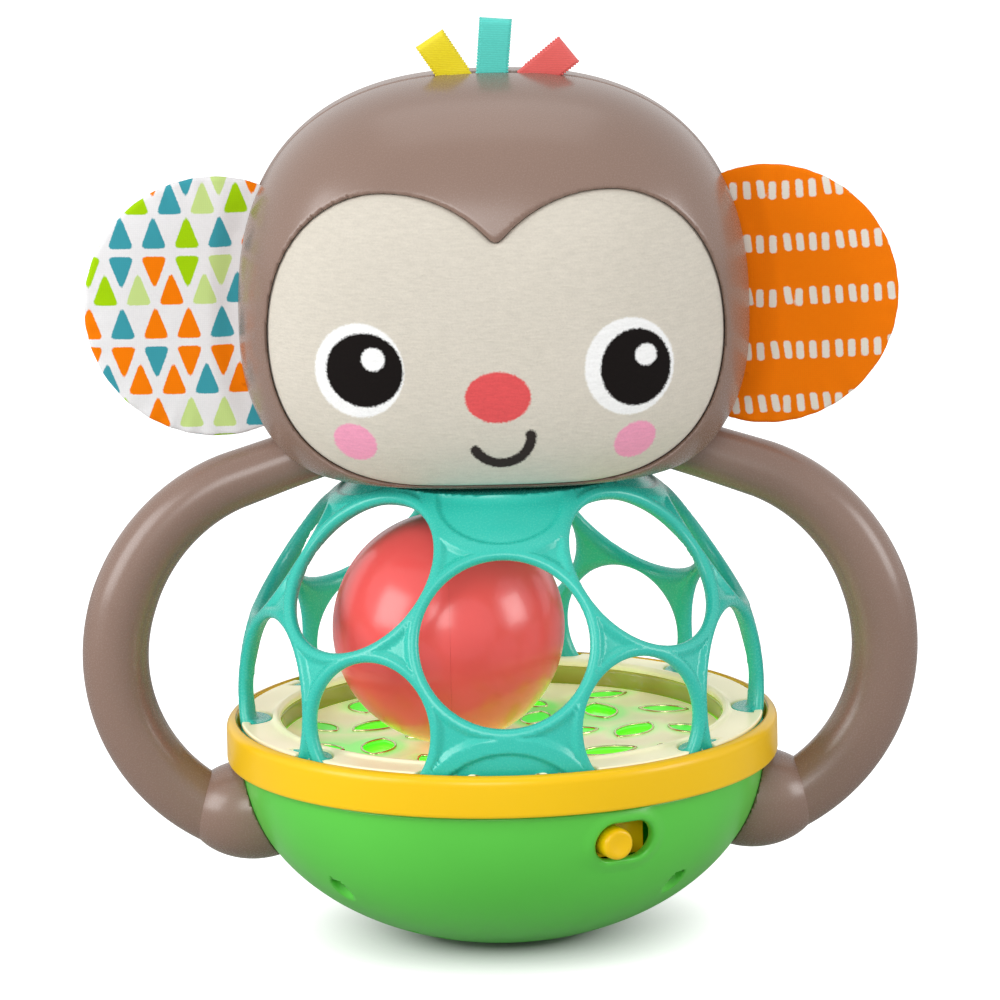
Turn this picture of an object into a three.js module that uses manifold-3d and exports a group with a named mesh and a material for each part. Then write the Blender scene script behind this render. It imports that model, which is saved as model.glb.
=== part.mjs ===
// Roly-poly activity toy: a monkey head on an openwork ball cage, over a weighted light-up bowl.
// Millimetres, Z up, the face looks along -Y, and the foot of the bowl stands on Z = 0.
import * as THREE from "three";
import { mergeVertices } from "three/addons/utils/BufferGeometryUtils.js";
import Module from "manifold-3d";

const wasm = await Module();
wasm.setup();

// Fits shared by all the pieces
const FIT = 0.3;
const SCREW_FIT = 0.3;
const CLOTH_FIT = 0.6;

// Bowl: a half ellipsoid with a small flat foot
const BOWL_STEP = 0.4;
const BOWL_DEPTH = 34.7;
const BOWL_WALL = 2.5;
const FOOT_RADIUS = 10;
const COLUMN_RADIUS = 4;
const COLUMN_INSET = 8.2;
const COLUMN_SEAT = 4;
const FRONT_COLUMN_AZIMUTH = 48;
const REAR_COLUMN_AZIMUTH = 118;
const SCREW_WELL_RADIUS = 2.5;
const SOUND_HOLE_RADIUS = 1.1;
const SOUND_HOLE_CIRCLE = 6;
const SOUND_HOLES = 6;

// Yellow ring that covers the joint of bowl and cage
const RING_WALL = 2.1;
const RING_HEIGHT = 8;
const RING_SHELF = 1.6;
const RING_ROUND = 1.8;

// Openwork cage: part of a ball with a soccer-ball layout of round holes, a pair axis upright
const CAGE_RADIUS = 50.8;
const CAGE_WALL = 3.3;
const CAGE_LIFT = 12.6;
const LIGAMENT = 4.25;
const NARROW_LIGAMENT = 3.95;
const HOLE_LIFT = 2.6;
const CROWN_RADIUS = 25.5;
const CROWN_PLATE = 2.6;
const CROWN_HOLE_RADIUS = 12;
const FLANGE_DROP = 2.1;
const FLANGE_THICKNESS = 1.8;
const FLANGE_WIDTH = 11.4;
const FOOT_BOSS_RADIUS = 3.3;

// Light tray, its trim collar and its window disc
const TRAY_GAP = 1.8;
const TRAY_DEPTH = 4.1;
const TRAY_WALL = 1.4;
const TRAY_FLANGE_WIDTH = 5.4;
const TRAY_FLANGE = 0.7;
const COLLAR_THICKNESS = 1;
const COLLAR_MARGIN = 1.7;
const COLLAR_BITE_RADIUS = 7.5;
const COLLAR_BITE_INSET = 0.3;
const DISC_THICKNESS = 0.6;
const LEAF_LENGTH = 11;
const LEAF_WIDTH = 5;
const LEAF_CIRCLE = 24;
const LEAVES = 9;

// Loose ball
const BALL_RADIUS = 22.3;
const BALL_WALL = 1.8;
const BALL_ROOM = 2.5;
const BALL_AZIMUTH = 209;

// Head: a rounded box whose front outline has a domed crown and a squarer jaw
const HEAD_HALF_WIDTH = 48.8;
const HEAD_HALF_DEPTH = 36.5;
const CROWN_HEIGHT = 46.5;
const JAW_DEPTH = 38;
const CHIN_HEIGHT = 30;
const CROWN_POWER = 2.5;
const JAW_POWER = 2.9;
const DEPTH_POWER = 2.5;
const HEAD_WALL = 2.2;
const HEAD_BOSS_RADIUS = 4.2;
const TOP_BOSS_X = 22;
const TOP_BOSS_DROP = 9.5;
const LOW_BOSS_X = 24.5;
const LOW_BOSS_LENGTH = 13;
const HEAD_SCREW_SEAT = 9;
const NECK_SCREW_INSET = 6.5;
const NECK_SCREW_LENGTH = 9;
const NECK_BOSS_HEIGHT = 8.5;

// Face opening, measured from the head's middle
const FACE_HALF_WIDTH = 43.3;
const LOBE_X = 20.5;
const LOBE_HEIGHT = 29.6;
const NOTCH_HEIGHT = 20;
const LIP_HEIGHT = 1.8;
const PAD_SUNK = 0.7;
const PAD_THICKNESS = 1.5;
const BACKING_THICKNESS = 1.7;
const BACKING_MARGIN = 2.6;

// Fabric ears, clamped in the seam of the head
const EAR_RADIUS = 25;
const EAR_X = 53.6;
const EAR_RISE = 2;
const EAR_THICKNESS = 2.4;
const EAR_EDGE = 0.9;
const EAR_TAB_THICKNESS = 1;
const EAR_TAB_HALF_HEIGHT = 15;
const EAR_TAB_DEPTH = 9;

// Satin ribbon loops, clamped in the seam at the top of the head
const RIBBON_WIDTH = 5.8;
const RIBBON_THICKNESS = 0.9;
const RIBBON_TAIL = 3.5;
const RIBBONS = [
  { name: "yellow", x: -7, lean: 34, length: 9.6, color: 0xedd501 },
  { name: "teal", x: 1, lean: -1, length: 10.6, color: 0x51d2c5 },
  { name: "coral", x: 9.6, lean: -50, length: 9.2, color: 0xe7605b },
];

// Arms: bent tubes from the jaw to the side of the bowl, each ending in a round hand
const ARM_RADIUS = 6.4;
const ARM_WALL = 2;
const ARM_TOP_DROP = 1.9;
const ARM_FOOT_DROP = 3.7;
const ARM_BEND_INSET = 7.6;
const ARM_RISE = 19;
const ARM_END_ANGLE = 252;
const ARM_ROOT_X = 33.5;
const HAND_HALF_WIDTH = 10.6;
const HAND_RADIUS = 10;
const HAND_SINK = 0.9;
const HAND_DROP = 10.2;
const HAND_SCREW_LENGTH = 9;

// Power switch: a knob sliding in a slot of the bowl
const SWITCH_AZIMUTH = 26.5;
const SWITCH_DROP = 6.7;
const KNOB_RADIUS = 3.3;
const KNOB_TIP_RADIUS = 2.4;
const KNOB_REACH = 3;
const KNOB_TRAVEL = 4.6;
const KNOB_GAP = 0.4;
const KNOB_PLATE = 1.2;
const KNOB_PLATE_LIP = 0.5;
const KNOB_PLATE_MARGIN = 4;
const SWITCH_DEPTH = 6;
const SWITCH_RAIL = 2;

// Battery compartment with two AAA cells, closed by a door in the back of the bowl
const CELL_LENGTH = 44.5;
const CELL_RADIUS = 5.25;
const CELL_Y = 18;
const CELL_LOW_Z = 15.6;
const CELL_PITCH = 11.2;
const CELL_GAP = 0.3;
const CONTACT_THICKNESS = 0.5;
const BOX_WALL = 1.3;
const DOOR_LUG_WEB = 0.85;
const DOOR_LUG_RADIUS = 2.8;
const DOOR_SCREW_LENGTH = 5;

// Works under the tray
const WEIGHT_HEIGHT = 8;
const WEIGHT_BOSS_RADIUS = 3.4;
const WASHER_RADIUS = 6;
const WASHER_THICKNESS = 1;
const BOARD_SIZE = [25, 33];
const BOARD_CENTRE = [14, -9.5];
const BOARD_THICKNESS = 1.6;
const BOARD_DROP = 7.2;
const STANDOFF_RADIUS = 2.6;
const STANDOFF_INSET = 4;
const LED_RADIUS = 1.5;
const LED_HEIGHT = 4.6;
const LED_RIM = 0.4;
const LED_RIM_HEIGHT = 1;
const SPEAKER_RADIUS = 13.5;
const SPEAKER_HEIGHT = 6.4;
const SPEAKER_MAGNET_RADIUS = 8;
const SPEAKER_CONE_DEPTH = 2;
const SPEAKER_RIM = 2;
const SPEAKER_CENTRE = [-15, -15];
const SPEAKER_SEAT_WALL = 1.2;
const SPEAKER_SEAT_DEPTH = 4;

// Self-tapping screws
const SCREW_RADIUS = 1.3;
const SCREW_HEAD_RADIUS = 2.1;
const SCREW_HEAD_HEIGHT = 1.6;
const SCREW_COVER = 1;

// Facets round a full turn
const FINE = 32;
const ROUND = 16;
const SMALL = 8;
const ARM_STEPS = 16;
const ARM_SIDES = 10;
const HEAD_ACROSS = 32;
const HEAD_DEEP = 14;
const INNER_FACETS = 0.75;

const rad = THREE.MathUtils.degToRad;
const BIG = 4 * (CAGE_RADIUS + HEAD_HALF_WIDTH);

// Radii worked out from the driving dimensions, with the angles between a soccer ball's neighbours
const WIDE_HALF_ANGLE = Math.asin(2 / (Math.sqrt(3) * (1 + Math.sqrt(5))));
const NARROW_ANGLE = Math.atan(3 - Math.sqrt(5));
const BOWL_RADIUS = CAGE_RADIUS - BOWL_STEP;
const RING_RADIUS = CAGE_RADIUS + FIT + RING_WALL;
const COLUMN_CIRCLE = BOWL_RADIUS - COLUMN_INSET;
const WIDE_HOLE_RADIUS = CAGE_RADIUS * Math.sin(WIDE_HALF_ANGLE) - LIGAMENT / 2;
const NARROW_HOLE_RADIUS =
  2 * CAGE_RADIUS * Math.sin(NARROW_ANGLE / 2) - WIDE_HOLE_RADIUS - NARROW_LIGAMENT;
const FLANGE_INNER_RADIUS = CAGE_RADIUS - FLANGE_WIDTH;
const TRAY_RADIUS = FLANGE_INNER_RADIUS - TRAY_GAP;
const COLLAR_BITE_CIRCLE = CAGE_RADIUS - COLLAR_BITE_INSET;
const BALL_ORBIT = TRAY_RADIUS - TRAY_WALL - BALL_RADIUS - BALL_ROOM;
const NECK_SCREW_CIRCLE = CROWN_RADIUS - NECK_SCREW_INSET;

// Levels worked out from the driving dimensions
const RIM_Z = BOWL_DEPTH;
const RING_BASE_Z = RIM_Z + FIT;
const RING_TOP_Z = RING_BASE_Z + RING_HEIGHT;
const CAGE_BASE_Z = RING_BASE_Z + RING_SHELF + FIT;
const CAGE_Z = RIM_Z + CAGE_LIFT;
const CAGE_TOP_Z = CAGE_Z + Math.sqrt(CAGE_RADIUS ** 2 - CROWN_RADIUS ** 2);
const FLANGE_TOP_Z = RING_TOP_Z - FLANGE_DROP;
const FLANGE_BASE_Z = FLANGE_TOP_Z - FLANGE_THICKNESS;
const TRAY_FLANGE_Z = FLANGE_TOP_Z + FIT;
const COLLAR_Z = TRAY_FLANGE_Z + TRAY_FLANGE + FIT;
const TRAY_FLOOR_Z = TRAY_FLANGE_Z + TRAY_FLANGE - TRAY_DEPTH;
const TRAY_BASE_Z = TRAY_FLOOR_Z - TRAY_WALL;
const DISC_Z = TRAY_FLOOR_Z + FIT;
const BALL_Z = DISC_Z + DISC_THICKNESS + FIT + BALL_RADIUS;
const HEAD_FLOOR_Z = CAGE_TOP_Z + FIT;
const HEAD_Z = HEAD_FLOOR_Z + CHIN_HEIGHT;
const EAR_Z = HEAD_Z + EAR_RISE;
const HAND_Z = RIM_Z - HAND_DROP;
const HAND_X = bowlRadiusAt(HAND_Z, 0) - HAND_SINK;
const ARM_TOP_Z = HEAD_FLOOR_Z - ARM_TOP_DROP;
const ARM_BEND = (ARM_TOP_Z - HAND_Z + ARM_FOOT_DROP) / 2;
const ARM_BEND_X = HAND_X - ARM_BEND_INSET;
const ARM_BEND_Z = ARM_TOP_Z - ARM_BEND;
const SWITCH_Z = RIM_Z - SWITCH_DROP;
const CELL_HIGH_Z = CELL_LOW_Z + CELL_PITCH;
const BOARD_TOP_Z = TRAY_BASE_Z - BOARD_DROP;

// A closed three.js geometry as a solid that can be joined and cut
function solid(geometry) {
  const bare = new THREE.BufferGeometry();
  bare.setAttribute("position", geometry.getAttribute("position"));
  bare.setIndex(geometry.index);
  const merged = mergeVertices(bare, 1e-4);
  const corners = merged.index.array;
  const triVerts = [];
  for (let i = 0; i < corners.length; i += 3) {
    const [a, b, c] = corners.subarray(i, i + 3);
    if (a !== b && b !== c && c !== a) triVerts.push(a, b, c);
  }
  return new wasm.Manifold(
    new wasm.Mesh({
      numProp: 3,
      vertProperties: merged.attributes.position.array,
      triVerts: new Uint32Array(triVerts),
    }),
  );
}

// A solid as a three.js geometry
function geometryOf(body) {
  const { vertProperties, triVerts } = body.getMesh();
  const geometry = new THREE.BufferGeometry();
  geometry.setAttribute("position", new THREE.BufferAttribute(vertProperties, 3));
  geometry.setIndex(new THREE.BufferAttribute(triVerts, 1));
  geometry.computeVertexNormals();
  return geometry;
}

const toy = new THREE.Group();

function add(name, body, color, roughness = 0.45, metalness = 0, extra = {}) {
  const material = new THREE.MeshStandardMaterial({ color, roughness, metalness, ...extra });
  const mesh = new THREE.Mesh(geometryOf(body), material);
  mesh.name = name;
  toy.add(mesh);
}

// Box between two opposite corners
function block(low, high) {
  const size = low.map((v, i) => high[i] - v);
  const centre = low.map((v, i) => (high[i] + v) / 2);
  return solid(new THREE.BoxGeometry(...size).translate(...centre));
}

// Upright rod between two heights
function rod(radius, low, high, x = 0, y = 0, sides = SMALL) {
  const geometry = new THREE.CylinderGeometry(radius, radius, high - low, sides);
  return solid(geometry.rotateX(Math.PI / 2).translate(x, y, (low + high) / 2));
}

// Rod that lies along Y between two depths
function crossRod(radius, low, high, x, z, sides = SMALL) {
  const geometry = new THREE.CylinderGeometry(radius, radius, high - low, sides);
  return solid(geometry.translate(x, (low + high) / 2, z));
}

// Profile of [radius, height] points, counter-clockwise, turned round the Z axis
function turned(points, sides = FINE) {
  const profile = points.map(([r, z]) => new THREE.Vector2(r, z));
  return solid(new THREE.LatheGeometry(profile, sides).rotateX(Math.PI / 2));
}

// Outline in the XZ plane made into a solid between two depths
function slab(shape, near, far, steps = 6) {
  const options = { depth: far - near, bevelEnabled: false, curveSegments: steps };
  const geometry = new THREE.ExtrudeGeometry(shape, options);
  return solid(geometry.rotateX(Math.PI / 2).translate(0, far, 0));
}

// Self-tapping screw with its head down and its tip up, the seat of the head at the origin
function screw(length) {
  return turned(
    [
      [0, -SCREW_HEAD_HEIGHT],
      [SCREW_HEAD_RADIUS * Math.SQRT1_2, -SCREW_HEAD_HEIGHT],
      [SCREW_HEAD_RADIUS, -SCREW_HEAD_HEIGHT / 2],
      [SCREW_HEAD_RADIUS, 0],
      [SCREW_RADIUS, 0],
      [SCREW_RADIUS, length - SCREW_RADIUS],
      [0, length],
    ],
    SMALL - 2,
  );
}

// Mirror image across the middle plane of the toy
function mirrored(body) {
  return body.mirror([1, 0, 0]);
}

// Ellipsoid of the bowl, pulled in by an inset and floored flat
function bowlSolid(inset) {
  const radius = BOWL_RADIUS - inset;
  const fullDepth = BOWL_DEPTH / Math.sqrt(1 - (FOOT_RADIUS / BOWL_RADIUS) ** 2);
  const depth = fullDepth - inset;
  const floor = Math.max(inset, 0);
  const start = Math.asin(Math.min(1, (RIM_Z - floor) / depth));
  const steps = 7;
  const points = [[0, RIM_Z - depth * Math.sin(start)]];
  for (let i = 0; i <= steps; i++) {
    const angle = start * (1 - i / steps);
    points.push([radius * Math.cos(angle), RIM_Z - depth * Math.sin(angle)]);
  }
  points.push([0, RIM_Z]);
  return turned(points);
}

function bowlRadiusAt(z, inset) {
  const fullDepth = BOWL_DEPTH / Math.sqrt(1 - (FOOT_RADIUS / BOWL_RADIUS) ** 2);
  return (BOWL_RADIUS - inset) * Math.sqrt(1 - ((RIM_Z - z) / (fullDepth - inset)) ** 2);
}

// Places of the four columns that the base screws run through
const columnAzimuths = [FRONT_COLUMN_AZIMUTH, REAR_COLUMN_AZIMUTH].flatMap((turn) => [turn, -turn]);
const columns = columnAzimuths.map((azimuth) => [
  COLUMN_CIRCLE * Math.sin(rad(azimuth)),
  -COLUMN_CIRCLE * Math.cos(rad(azimuth)),
]);
const BASE_SCREW_SEAT_Z = RIM_Z - COLUMN_SEAT;

// Battery compartment limits
const boxHalfX = CELL_LENGTH / 2 + CELL_GAP + CONTACT_THICKNESS + FIT;
const boxLow = CELL_LOW_Z - CELL_RADIUS - CELL_GAP;
const boxHigh = CELL_HIGH_Z + CELL_RADIUS + CELL_GAP;
const boxFront = CELL_Y - CELL_RADIUS - CELL_GAP;
const lugX = boxHalfX + BOX_WALL + DOOR_LUG_RADIUS + DOOR_LUG_WEB;
const lugZ = (CELL_LOW_Z + CELL_HIGH_Z) / 2;
const doorLow = [-boxHalfX - BOX_WALL, CELL_Y, boxLow];
const doorHigh = [lugX + DOOR_LUG_RADIUS + BOX_WALL, BIG, boxHigh];
const doorFaceY = Math.sqrt(bowlRadiusAt(lugZ, BOWL_WALL) ** 2 - lugX ** 2);

// Switch parts are made at the front of the bowl and turned to their place
const slotHalfHeight = KNOB_RADIUS + KNOB_GAP;
const plateHalfHeight = slotHalfHeight + KNOB_PLATE_LIP;
const switchHalfWidth = KNOB_RADIUS + KNOB_PLATE_MARGIN;
const switchInnerY = -Math.sqrt(
  bowlRadiusAt(SWITCH_Z - plateHalfHeight, BOWL_WALL + FIT) ** 2 - (switchHalfWidth + KNOB_TRAVEL / 2) ** 2,
);
const switchBackY = switchInnerY + KNOB_PLATE + FIT;

function switchSlot() {
  const shape = new THREE.Shape();
  const half = KNOB_TRAVEL / 2;
  shape.absarc(half, SWITCH_Z, slotHalfHeight, -Math.PI / 2, Math.PI / 2);
  shape.absarc(-half, SWITCH_Z, slotHalfHeight, Math.PI / 2, (3 * Math.PI) / 2);
  return slab(shape, -BOWL_RADIUS - BOWL_WALL, switchInnerY - FIT);
}

function atSwitch(body) {
  return body.rotate([0, 0, SWITCH_AZIMUTH]);
}

// Bowl, with its columns, weight boss, switch rails and openings
function makeBowl() {
  let hollow = bowlSolid(BOWL_WALL);
  for (const [x, y] of columns) hollow = hollow.subtract(rod(COLUMN_RADIUS, 0, RIM_Z, x, y));
  hollow = hollow.subtract(rod(WEIGHT_BOSS_RADIUS, 0, WEIGHT_HEIGHT));
  for (const side of [-1, 1]) {
    const near = SWITCH_Z + side * (plateHalfHeight + FIT);
    const far = near + side * SWITCH_RAIL;
    const low = [-switchHalfWidth, -BOWL_RADIUS, Math.min(near, far)];
    const high = [switchHalfWidth, switchBackY + SWITCH_DEPTH, Math.max(near, far)];
    hollow = hollow.subtract(atSwitch(block(low, high)));
  }
  let bowl = bowlSolid(0).subtract(hollow);
  for (const [x, y] of columns) {
    bowl = bowl.subtract(rod(SCREW_WELL_RADIUS, -FIT, BASE_SCREW_SEAT_Z, x, y));
    bowl = bowl.subtract(rod(SCREW_RADIUS + SCREW_FIT, 0, BIG, x, y));
  }
  bowl = bowl.subtract(rod(SCREW_RADIUS + SCREW_FIT, BOWL_WALL, BIG));
  bowl = bowl.subtract(atSwitch(switchSlot()));
  bowl = bowl.subtract(block(doorLow, doorHigh));
  for (let i = 0; i < SOUND_HOLES; i++) {
    const turn = (i * 2 * Math.PI) / SOUND_HOLES;
    const x = SPEAKER_CENTRE[0] + SOUND_HOLE_CIRCLE * Math.cos(turn);
    const y = SPEAKER_CENTRE[1] + SOUND_HOLE_CIRCLE * Math.sin(turn);
    bowl = bowl.subtract(rod(SOUND_HOLE_RADIUS, -FIT, WEIGHT_HEIGHT + BOWL_WALL, x, y));
  }
  const screwBore = new THREE.CylinderGeometry(
    SCREW_RADIUS + SCREW_FIT,
    SCREW_RADIUS + SCREW_FIT,
    2 * BOWL_RADIUS + BOWL_WALL,
    SMALL,
  );
  return bowl.subtract(solid(screwBore.rotateZ(Math.PI / 2).translate(0, 0, HAND_Z)));
}
const green = 0x5dc149;
add("bowl", makeBowl(), green, 0.35);

// Door in the back of the bowl, with its screw into a lug of the battery box
const doorShell = bowlSolid(0).subtract(bowlSolid(BOWL_WALL));
const doorSpace = block(
  doorLow.map((v) => v + FIT),
  doorHigh.map((v) => v - FIT),
);
const doorBore = crossRod(SCREW_RADIUS + SCREW_FIT, 0, BIG, lugX, lugZ);
add("battery_door", doorShell.intersect(doorSpace).subtract(doorBore), green, 0.35);
const doorScrewInnerX = lugX - SCREW_HEAD_RADIUS;
const doorScrewSeat = Math.sqrt(bowlRadiusAt(lugZ, 0) ** 2 - doorScrewInnerX ** 2) + FIT;
const steel = 0x9a9da0;
const doorScrew = screw(DOOR_SCREW_LENGTH + doorScrewSeat - doorFaceY).rotate([90, 0, 0]);
add("door_screw", doorScrew.translate([lugX, doorScrewSeat, lugZ]), steel, 0.35, 0.9);

// Battery box: an open tray for two cells that faces the door
function makeBatteryBox() {
  const outerLow = [-boxHalfX - BOX_WALL, boxFront - BOX_WALL, boxLow - BOX_WALL];
  const outerHigh = [boxHalfX + BOX_WALL, BIG, boxHigh + BOX_WALL];
  const inner = block([-boxHalfX, boxFront, boxLow], [boxHalfX, BIG, boxHigh]);
  const reach = bowlSolid(BOWL_WALL + FIT);
  const lugBack = doorFaceY - DOOR_SCREW_LENGTH - SCREW_FIT;
  const lug = crossRod(DOOR_LUG_RADIUS, lugBack - BOX_WALL, BIG, lugX, lugZ).add(
    block([boxHalfX, lugBack - BOX_WALL, lugZ - BOX_WALL], [lugX, BIG, lugZ + BOX_WALL]),
  );
  const pilot = crossRod(SCREW_RADIUS + SCREW_FIT, lugBack, BIG, lugX, lugZ);
  return block(outerLow, outerHigh).subtract(inner).add(lug).subtract(pilot).intersect(reach);
}
add("battery_box", makeBatteryBox(), 0x2e3134, 0.6);

for (const [name, z] of [
  ["battery_lower", CELL_LOW_Z],
  ["battery_upper", CELL_HIGH_Z],
]) {
  const cell = new THREE.CylinderGeometry(CELL_RADIUS, CELL_RADIUS, CELL_LENGTH, ROUND - 4);
  add(name, solid(cell.rotateZ(Math.PI / 2).translate(0, CELL_Y, z)), 0x3a6ea5, 0.4, 0.3);
}
for (const [name, side] of [
  ["contact_left", -1],
  ["contact_right", 1],
]) {
  const near = side * (CELL_LENGTH / 2 + CELL_GAP);
  const far = near + side * CONTACT_THICKNESS;
  const low = [Math.min(near, far), CELL_Y - CELL_RADIUS, boxLow + FIT];
  const high = [Math.max(near, far), CELL_Y + CELL_RADIUS, boxHigh - FIT];
  add(name, block(low, high).intersect(bowlSolid(BOWL_WALL + FIT)), steel, 0.35, 0.9);
}

// Steel weight in the bottom of the bowl, screwed to the boss in the middle
const weightTop = block([-BIG, -BIG, WEIGHT_HEIGHT - FIT], [BIG, BIG, BIG]);
const weight = bowlSolid(BOWL_WALL + FIT)
  .subtract(weightTop)
  .subtract(rod(WEIGHT_BOSS_RADIUS + FIT, -BIG, BIG, 0, 0, ROUND));
const soundWell = rod(
  SOUND_HOLE_CIRCLE + 2 * SOUND_HOLE_RADIUS,
  -BIG,
  BIG,
  SPEAKER_CENTRE[0],
  SPEAKER_CENTRE[1],
  ROUND,
);
add("counterweight", weight.subtract(soundWell), 0x77797c, 0.4, 0.9);
const weightScrew = screw(WEIGHT_HEIGHT - BOWL_WALL - SCREW_COVER).rotate([180, 0, 0]);
const washerZ = WEIGHT_HEIGHT + FIT;
const washer = rod(WASHER_RADIUS, washerZ, washerZ + WASHER_THICKNESS, 0, 0, ROUND);
add("weight_screw", weightScrew.translate([0, 0, washerZ]).add(washer), steel, 0.35, 0.9);

// Yellow ring round the joint, with a rounded top edge and a shelf that the cage clamps down
function makeRing() {
  const inner = CAGE_RADIUS + FIT;
  const points = [
    [BOWL_RADIUS - BOWL_WALL - FIT, RING_BASE_Z],
    [RING_RADIUS, RING_BASE_Z],
  ];
  const corners = 3;
  for (let i = 0; i <= corners; i++) {
    const angle = (i / corners) * (Math.PI / 2);
    points.push([
      RING_RADIUS - RING_ROUND * (1 - Math.cos(angle)),
      RING_TOP_Z - RING_ROUND * (1 - Math.sin(angle)),
    ]);
  }
  points.push([inner, RING_TOP_Z], [inner, RING_BASE_Z + RING_SHELF]);
  points.push([BOWL_RADIUS - BOWL_WALL - FIT, RING_BASE_Z + RING_SHELF]);
  points.push(points[0]);
  return turned(points);
}
add("rim_ring", makeRing(), 0xfed011, 0.35);

// Directions of the cage's open holes: twelve narrow and twenty wide places of a soccer ball,
// of which those near the head and below the ring stay closed; the layout sits above the ball's middle
const GOLD = (1 + Math.sqrt(5)) / 2;
const signs = [-1, 1];
const wideHoles = [];
const narrowHoles = [];
for (const a of signs) {
  wideHoles.push([0, a * GOLD, 1 / GOLD]);
  narrowHoles.push([a * GOLD, 0, 1]);
  for (const b of signs) {
    wideHoles.push([a, b, 1], [a * GOLD, b / GOLD, 0]);
    narrowHoles.push([a, b * GOLD, 0]);
  }
}

// Round cutter that runs from the middle of the cage out through its wall
function holeCutter(direction, radius) {
  const axis = new THREE.Vector3(...direction).normalize();
  const turn = new THREE.Quaternion().setFromUnitVectors(new THREE.Vector3(0, 1, 0), axis);
  const length = CAGE_RADIUS;
  const geometry = new THREE.CylinderGeometry(radius, radius, length, ROUND);
  geometry.translate(0, length / 2 + CAGE_RADIUS / 2, 0).applyQuaternion(turn);
  return solid(geometry.translate(0, 0, CAGE_Z + HOLE_LIFT));
}

function sphere(radius, x, y, z, across = FINE - 8, down = ROUND - 4) {
  const geometry = new THREE.SphereGeometry(radius, across, down).rotateX(Math.PI / 2);
  return solid(geometry.translate(x, y, z));
}

function makeCage() {
  const inner = sphere(CAGE_RADIUS - CAGE_WALL, 0, 0, CAGE_Z, ROUND + 4, SMALL + 2);
  let cage = sphere(CAGE_RADIUS, 0, 0, CAGE_Z).subtract(inner);
  for (const direction of wideHoles) cage = cage.subtract(holeCutter(direction, WIDE_HOLE_RADIUS));
  for (const direction of narrowHoles) cage = cage.subtract(holeCutter(direction, NARROW_HOLE_RADIUS));
  const crownBase = CAGE_TOP_Z - CROWN_PLATE;
  cage = cage.add(rod(CROWN_RADIUS, crownBase, CAGE_TOP_Z, 0, 0, FINE));
  const skirt = sphere(CAGE_RADIUS, 0, 0, CAGE_Z).subtract(inner);
  cage = cage.add(skirt.intersect(block([-BIG, -BIG, 0], [BIG, BIG, FLANGE_TOP_Z])));
  const flange = rod(CAGE_RADIUS - CAGE_WALL / 2, FLANGE_BASE_Z, FLANGE_TOP_Z, 0, 0, FINE);
  cage = cage.add(flange.subtract(rod(FLANGE_INNER_RADIUS, 0, BIG, 0, 0, FINE)));
  for (const [x, y] of columns) cage = cage.add(rod(FOOT_BOSS_RADIUS, RIM_Z + FIT, FLANGE_TOP_Z, x, y));
  for (const [x, y] of columns) {
    cage = cage.subtract(rod(SCREW_RADIUS + SCREW_FIT, 0, FLANGE_TOP_Z - SCREW_COVER, x, y));
  }
  cage = cage.subtract(rod(CROWN_HOLE_RADIUS, CAGE_Z, BIG, 0, 0, ROUND));
  for (const [x, y] of neckScrews) cage = cage.subtract(rod(SCREW_RADIUS + SCREW_FIT, CAGE_Z, BIG, x, y));
  const below = block([-BIG, -BIG, -BIG], [BIG, BIG, CAGE_BASE_Z]);
  const bosses = columns.map(([x, y]) => rod(FOOT_BOSS_RADIUS, RIM_Z + FIT, CAGE_BASE_Z + FIT, x, y));
  const trimmed = cage.subtract(bosses.reduce((rest, boss) => rest.subtract(boss), below));
  return trimmed.subtract(block([-BIG, -BIG, CAGE_TOP_Z], [BIG, BIG, BIG]));
}
const neckScrews = [45, 135, 225, 315].map((azimuth) => [
  NECK_SCREW_CIRCLE * Math.cos(rad(azimuth)),
  NECK_SCREW_CIRCLE * Math.sin(rad(azimuth)),
]);
add("cage", makeCage(), 0x4fccbc, 0.35);

neckScrews.forEach(([x, y], i) => {
  const seat = CAGE_TOP_Z - CROWN_PLATE - FIT;
  add("neck_screw_" + (i + 1), screw(NECK_SCREW_LENGTH).translate([x, y, seat]), steel, 0.35, 0.9);
});
const baseScrewLength = FLANGE_TOP_Z - 2 * SCREW_COVER - BASE_SCREW_SEAT_Z;
columns.forEach(([x, y], i) => {
  const seat = BASE_SCREW_SEAT_Z - FIT;
  add("base_screw_" + (i + 1), screw(baseScrewLength).translate([x, y, seat]), steel, 0.35, 0.9);
});

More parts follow.
